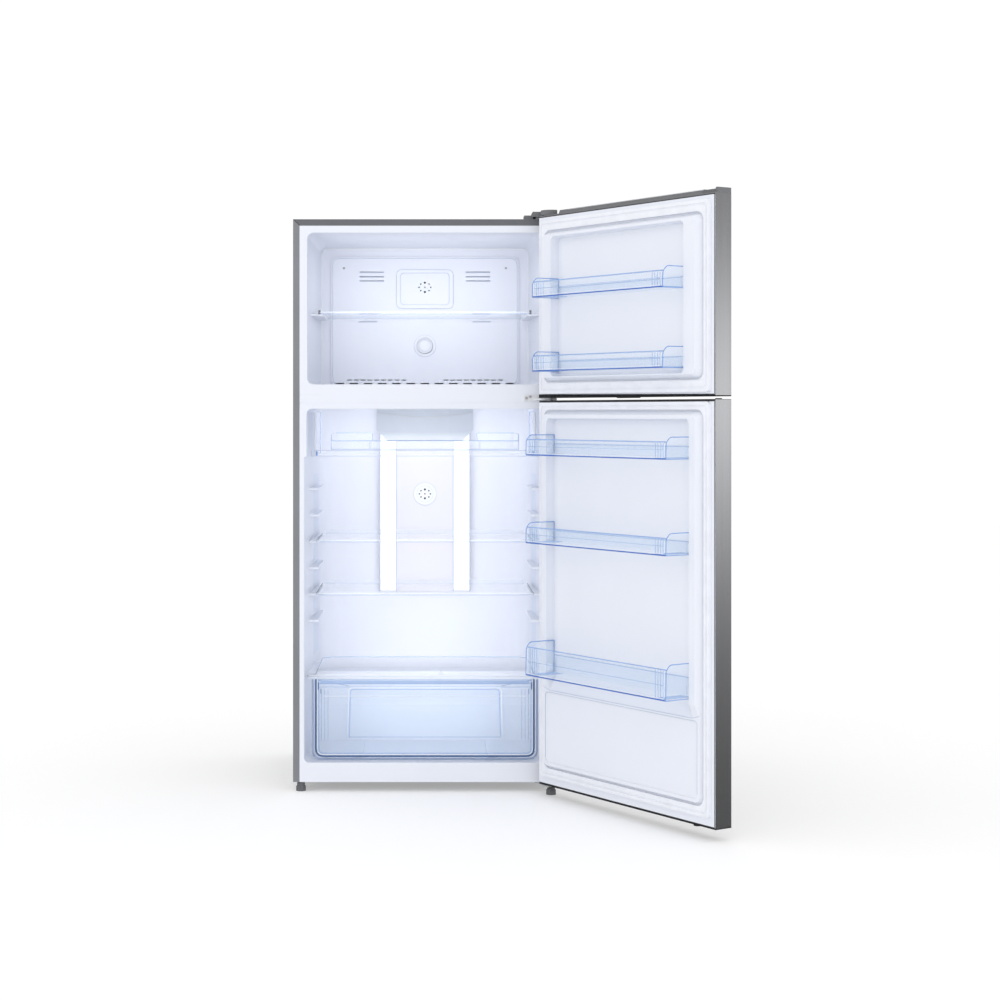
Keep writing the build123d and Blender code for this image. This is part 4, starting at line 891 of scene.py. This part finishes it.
def door_panel_details():
    """Lines of painted shade along the edges of the lower door's flat panel and of the slope above it, and a
    painted highlight inside the panel's edge.
    """
    outline = bent(three_sides(0.3365, LINER_FACE - 0.0002, 0.120, 0.3145), 0.012)
    slope = [(-0.3455, LINER_FACE, 0.3290), (-0.3165, LINER_FACE, 0.3205)]
    slope += [(0.3165, LINER_FACE, 0.3205), (0.3455, LINER_FACE, 0.3290)]
    lines = [bead(outline, 0.0010, place=on_door), bead(slope, 0.0010, place=on_door)]
    lines.append(level_bead(-0.316, 0.316, -0.0118, 0.3525, 0.0012, place=on_door))
    add_piece("door_panel_lines", lines, "liner_white", "fridge_door", SOFT_SHADE_LINE)
    inner = bead(rounded_loop(0.3340, (0.1100, 0.3120), 0.0032, 0.010), 0.0011, closed=True, place=on_door)
    add_piece("door_panel_shine", [inner], "liner_white", "fridge_door", PAINTED_HIGHLIGHT)


def liner_gap(door, bottom, top):
    """Dark beads painted as the shade in the gap between a door's liner and its steel, on the handle side,
    below and above.
    """
    gaps = [upright_bead(-LINER_HALF, GAP_DEPTH, bottom, top, 0.0015, place=on_door)]
    for z in (bottom, top):
        gaps.append(level_bead(-LINER_HALF, LINER_HALF, GAP_DEPTH, z, 0.0014, place=on_door))
    add_piece(door + "_liner_gap", gaps, "seal", door, DARK_SEAM_AND_SHADE)


def freezer_door_details():
    """Black band under the freezer door, the cap's black with painted shade in the gap; a line of painted
    shade in the groove of its top cap, and a painted highlight along it.
    """
    band = []
    for x, top in ((-0.3860, 1.1842), (0.3880, 1.1888)):
        for depth in (-0.0140, -0.0088):
            band += [on_door(x, depth, 1.1781), on_door(x, depth, top)]
    add_piece("freezer_door_shadow_gap", [hull(band)], "cap_black", "freezer_door", CAP_BLACK_AND_GAP_SHADE)
    left, right = -0.309, 0.290
    # groove: painted shade at the foot of the cap's rib; shine: painted highlight along its top edge
    groove = level_bead(left, right, -0.0364, 1.7190, 0.0014, place=on_door)
    shine = level_bead(left, right, -0.0430, 1.7322, 0.0016, place=on_door)
    add_piece("top_cap_groove", [groove], "cap_grey", "freezer_door", DARK_SEAM_AND_SHADE)
    add_piece("top_cap_shine", [shine], "cap_grey", "freezer_door", BRIGHT_ZINC_AND_HIGHLIGHT)


def hide_clear_shadows():
    """Pale edges and painted highlights don't shade what is behind them."""
    shadowless = (EDGE_PALE.mat, PAINTED_HIGHLIGHT.mat)
    for obj in bpy.context.scene.objects:
        if obj.type == "MESH" and obj.data.materials and obj.data.materials[0] in shadowless:
            obj.visible_shadow = False


crisper_details()
cover_details()
for shelf_name in ("freezer_shelf", "upper_shelf", "lower_shelf"):
    shelf_details(shelf_name)
chiller_tray_details()
chiller_shelf_details()
chiller_bracket_details()
evaporator_cover_details()
duct_details()
rack_strips()
top_rail()
vent_passage_shade()
lamp_details()
corner_mitres()
machine_space_details()
rear_panel_details()
door_panel_details()
liner_gap("fridge_door", 0.0385, 1.1655)
liner_gap("freezer_door", 1.1835, 1.7128)
freezer_door_details()
hide_clear_shadows()


# ---------------------------------------------------------------- stage, lights, camera
WHITE_LIGHT = (1.0, 1.0, 1.0, 1.0)


def stage():
    """Pale floor that glows a little, so that it comes out as white as the background."""
    size = 14.0                        # half the floor's side
    mesh = bpy.data.meshes.new("floor")
    corners = [(-size, -size, 0), (size, -size, 0), (size, size, 0), (-size, size, 0)]
    mesh.from_pydata(corners, [], [(0, 1, 2, 3)])
    floor = bpy.data.objects.new("floor", mesh)
    bpy.context.scene.collection.objects.link(floor)
    made = Shade("floor_paint", (0.78, 0.78, 0.784), 0.7)
    made.vary_color(made.noise(1.5), (0.775, 0.775, 0.78))
    made.set("Emission Color", WHITE_LIGHT)
    made.set("Emission Strength", 0.26)
    mesh.materials.append(made.mat)
    floor.visible_glossy = False


def area_light(name, place, aim, size, power, spread=180.0, color=(1, 1, 1)):
    """Rectangular light that isn't seen itself; size is its width and height, spread is in degrees."""
    data = bpy.data.lights.new(name, "AREA")
    data.spread = radians(spread)
    data.shape = "RECTANGLE"
    data.size, data.size_y = size
    data.energy = power
    data.color = color
    lamp = bpy.data.objects.new(name, data)
    lamp.location = place
    lamp.rotation_euler = (Vector(aim) - Vector(place)).to_track_quat("-Z", "Y").to_euler()
    lamp.visible_camera = False
    lamp.visible_glossy = False
    bpy.context.scene.collection.objects.link(lamp)


# brightness of the studio as steel reflects it, by the height of the direction
REFLECTED = ((0.0, 0.02), (0.41, 0.02), (0.45, 0.16), (0.48, 0.60), (0.503, 1.20), (0.525, 0.75),
             (0.55, 0.14), (0.60, 0.30), (0.80, 0.90))


def studio_world():
    """Even white surroundings, with a graded band for reflections only."""
    world = bpy.data.worlds.new("studio")
    world.use_nodes = True
    tree = world.node_tree
    background = tree.nodes["Background"]
    background.inputs["Color"].default_value = WHITE_LIGHT
    background.inputs["Strength"].default_value = 1.0
    seen = tree.nodes.new("ShaderNodeBackground")
    seen.inputs["Color"].default_value = WHITE_LIGHT
    seen.inputs["Strength"].default_value = 1.02
    mirrored = tree.nodes.new("ShaderNodeBackground")
    coords = tree.nodes.new("ShaderNodeTexCoord")
    split = tree.nodes.new("ShaderNodeSeparateXYZ")
    remap = tree.nodes.new("ShaderNodeMapRange")
    remap.inputs["From Min"].default_value = -1.0
    ramp = tree.nodes.new("ShaderNodeValToRGB")
    for element, (position, value) in zip(ramp.color_ramp.elements, (REFLECTED[0], REFLECTED[-1])):
        element.position = position
        element.color = (value, value, value, 1.0)
    for position, value in REFLECTED[1:-1]:
        element = ramp.color_ramp.elements.new(position)
        element.color = (value, value, value * 1.02, 1.0)
    path = tree.nodes.new("ShaderNodeLightPath")
    mix = tree.nodes.new("ShaderNodeMixShader")
    mix_seen = tree.nodes.new("ShaderNodeMixShader")
    link = tree.links.new
    link(coords.outputs["Generated"], split.inputs["Vector"])
    link(split.outputs["Z"], remap.inputs["Value"])
    link(remap.outputs["Result"], ramp.inputs["Fac"])
    link(ramp.outputs["Color"], mirrored.inputs["Color"])
    link(path.outputs["Is Glossy Ray"], mix.inputs["Fac"])
    link(background.outputs["Background"], mix.inputs[1])
    link(mirrored.outputs["Background"], mix.inputs[2])
    link(path.outputs["Is Camera Ray"], mix_seen.inputs["Fac"])
    link(mix.outputs["Shader"], mix_seen.inputs[1])
    link(seen.outputs["Background"], mix_seen.inputs[2])
    link(mix_seen.outputs["Shader"], tree.nodes["World Output"].inputs["Surface"])
    world.cycles.sampling_method = "NONE"
    bpy.context.scene.world = world


WARM = (1.0, 0.972, 0.955)
MILD = (1.0, 0.98, 0.96)


def lights():
    """One large soft light in front, and a small one for each compartment."""
    studio_world()
    area_light("front_soft", (-0.4, -7.5, 2.6), (0, 0, 0.9), (5.0, 4.0), 38)
    area_light("freezer_fill", (0, FRONT_Y + 0.01, 1.50), (0, 0.30, 1.50), (0.60, 0.26), 0.46, 112)
    area_light("fridge_fill", (0, FRONT_Y + 0.01, 0.68), (0, 0.30, 0.68), (0.60, 0.66), 0.60, 100, WARM)
    area_light("cover_fill", (0, FRONT_Y + 0.02, 0.43), (0, 0.22, 0.31), (0.60, 0.08), 0.08, 120)
    area_light("crisper_fill", (0, FRONT_Y + 0.05, 0.20), (0, 0.30, 0.20), (0.56, 0.14), 0.25, 110)
    area_light("chiller_fill", (0, FRONT_Y + 0.29, 1.10), (0, 0.30, 1.10), (0.62, 0.05), 0.42, 180, MILD)


def camera():
    """Level view square to the cabinet's front, at the height of the upper bin."""
    data = bpy.data.cameras.new("camera")
    data.sensor_width = 36.0
    data.lens = 70.67
    data.shift_x = 0.0751
    data.shift_y = -0.0875
    view = bpy.data.objects.new("camera", data)
    view.location = (0.0, -6.21, 1.135)
    view.rotation_euler = (pi / 2, 0, 0)
    bpy.context.scene.collection.objects.link(view)
    bpy.context.scene.camera = view


def tone():
    """Plain colours, and enough light bounces for the clear pieces in front of each other."""
    scene = bpy.context.scene
    scene.view_settings.view_transform = "Standard"
    scene.cycles.use_denoising = True
    scene.cycles.max_bounces = 14
    scene.cycles.transmission_bounces = 10
    scene.cycles.transparent_max_bounces = 32


stage()
lights()
camera()
tone()
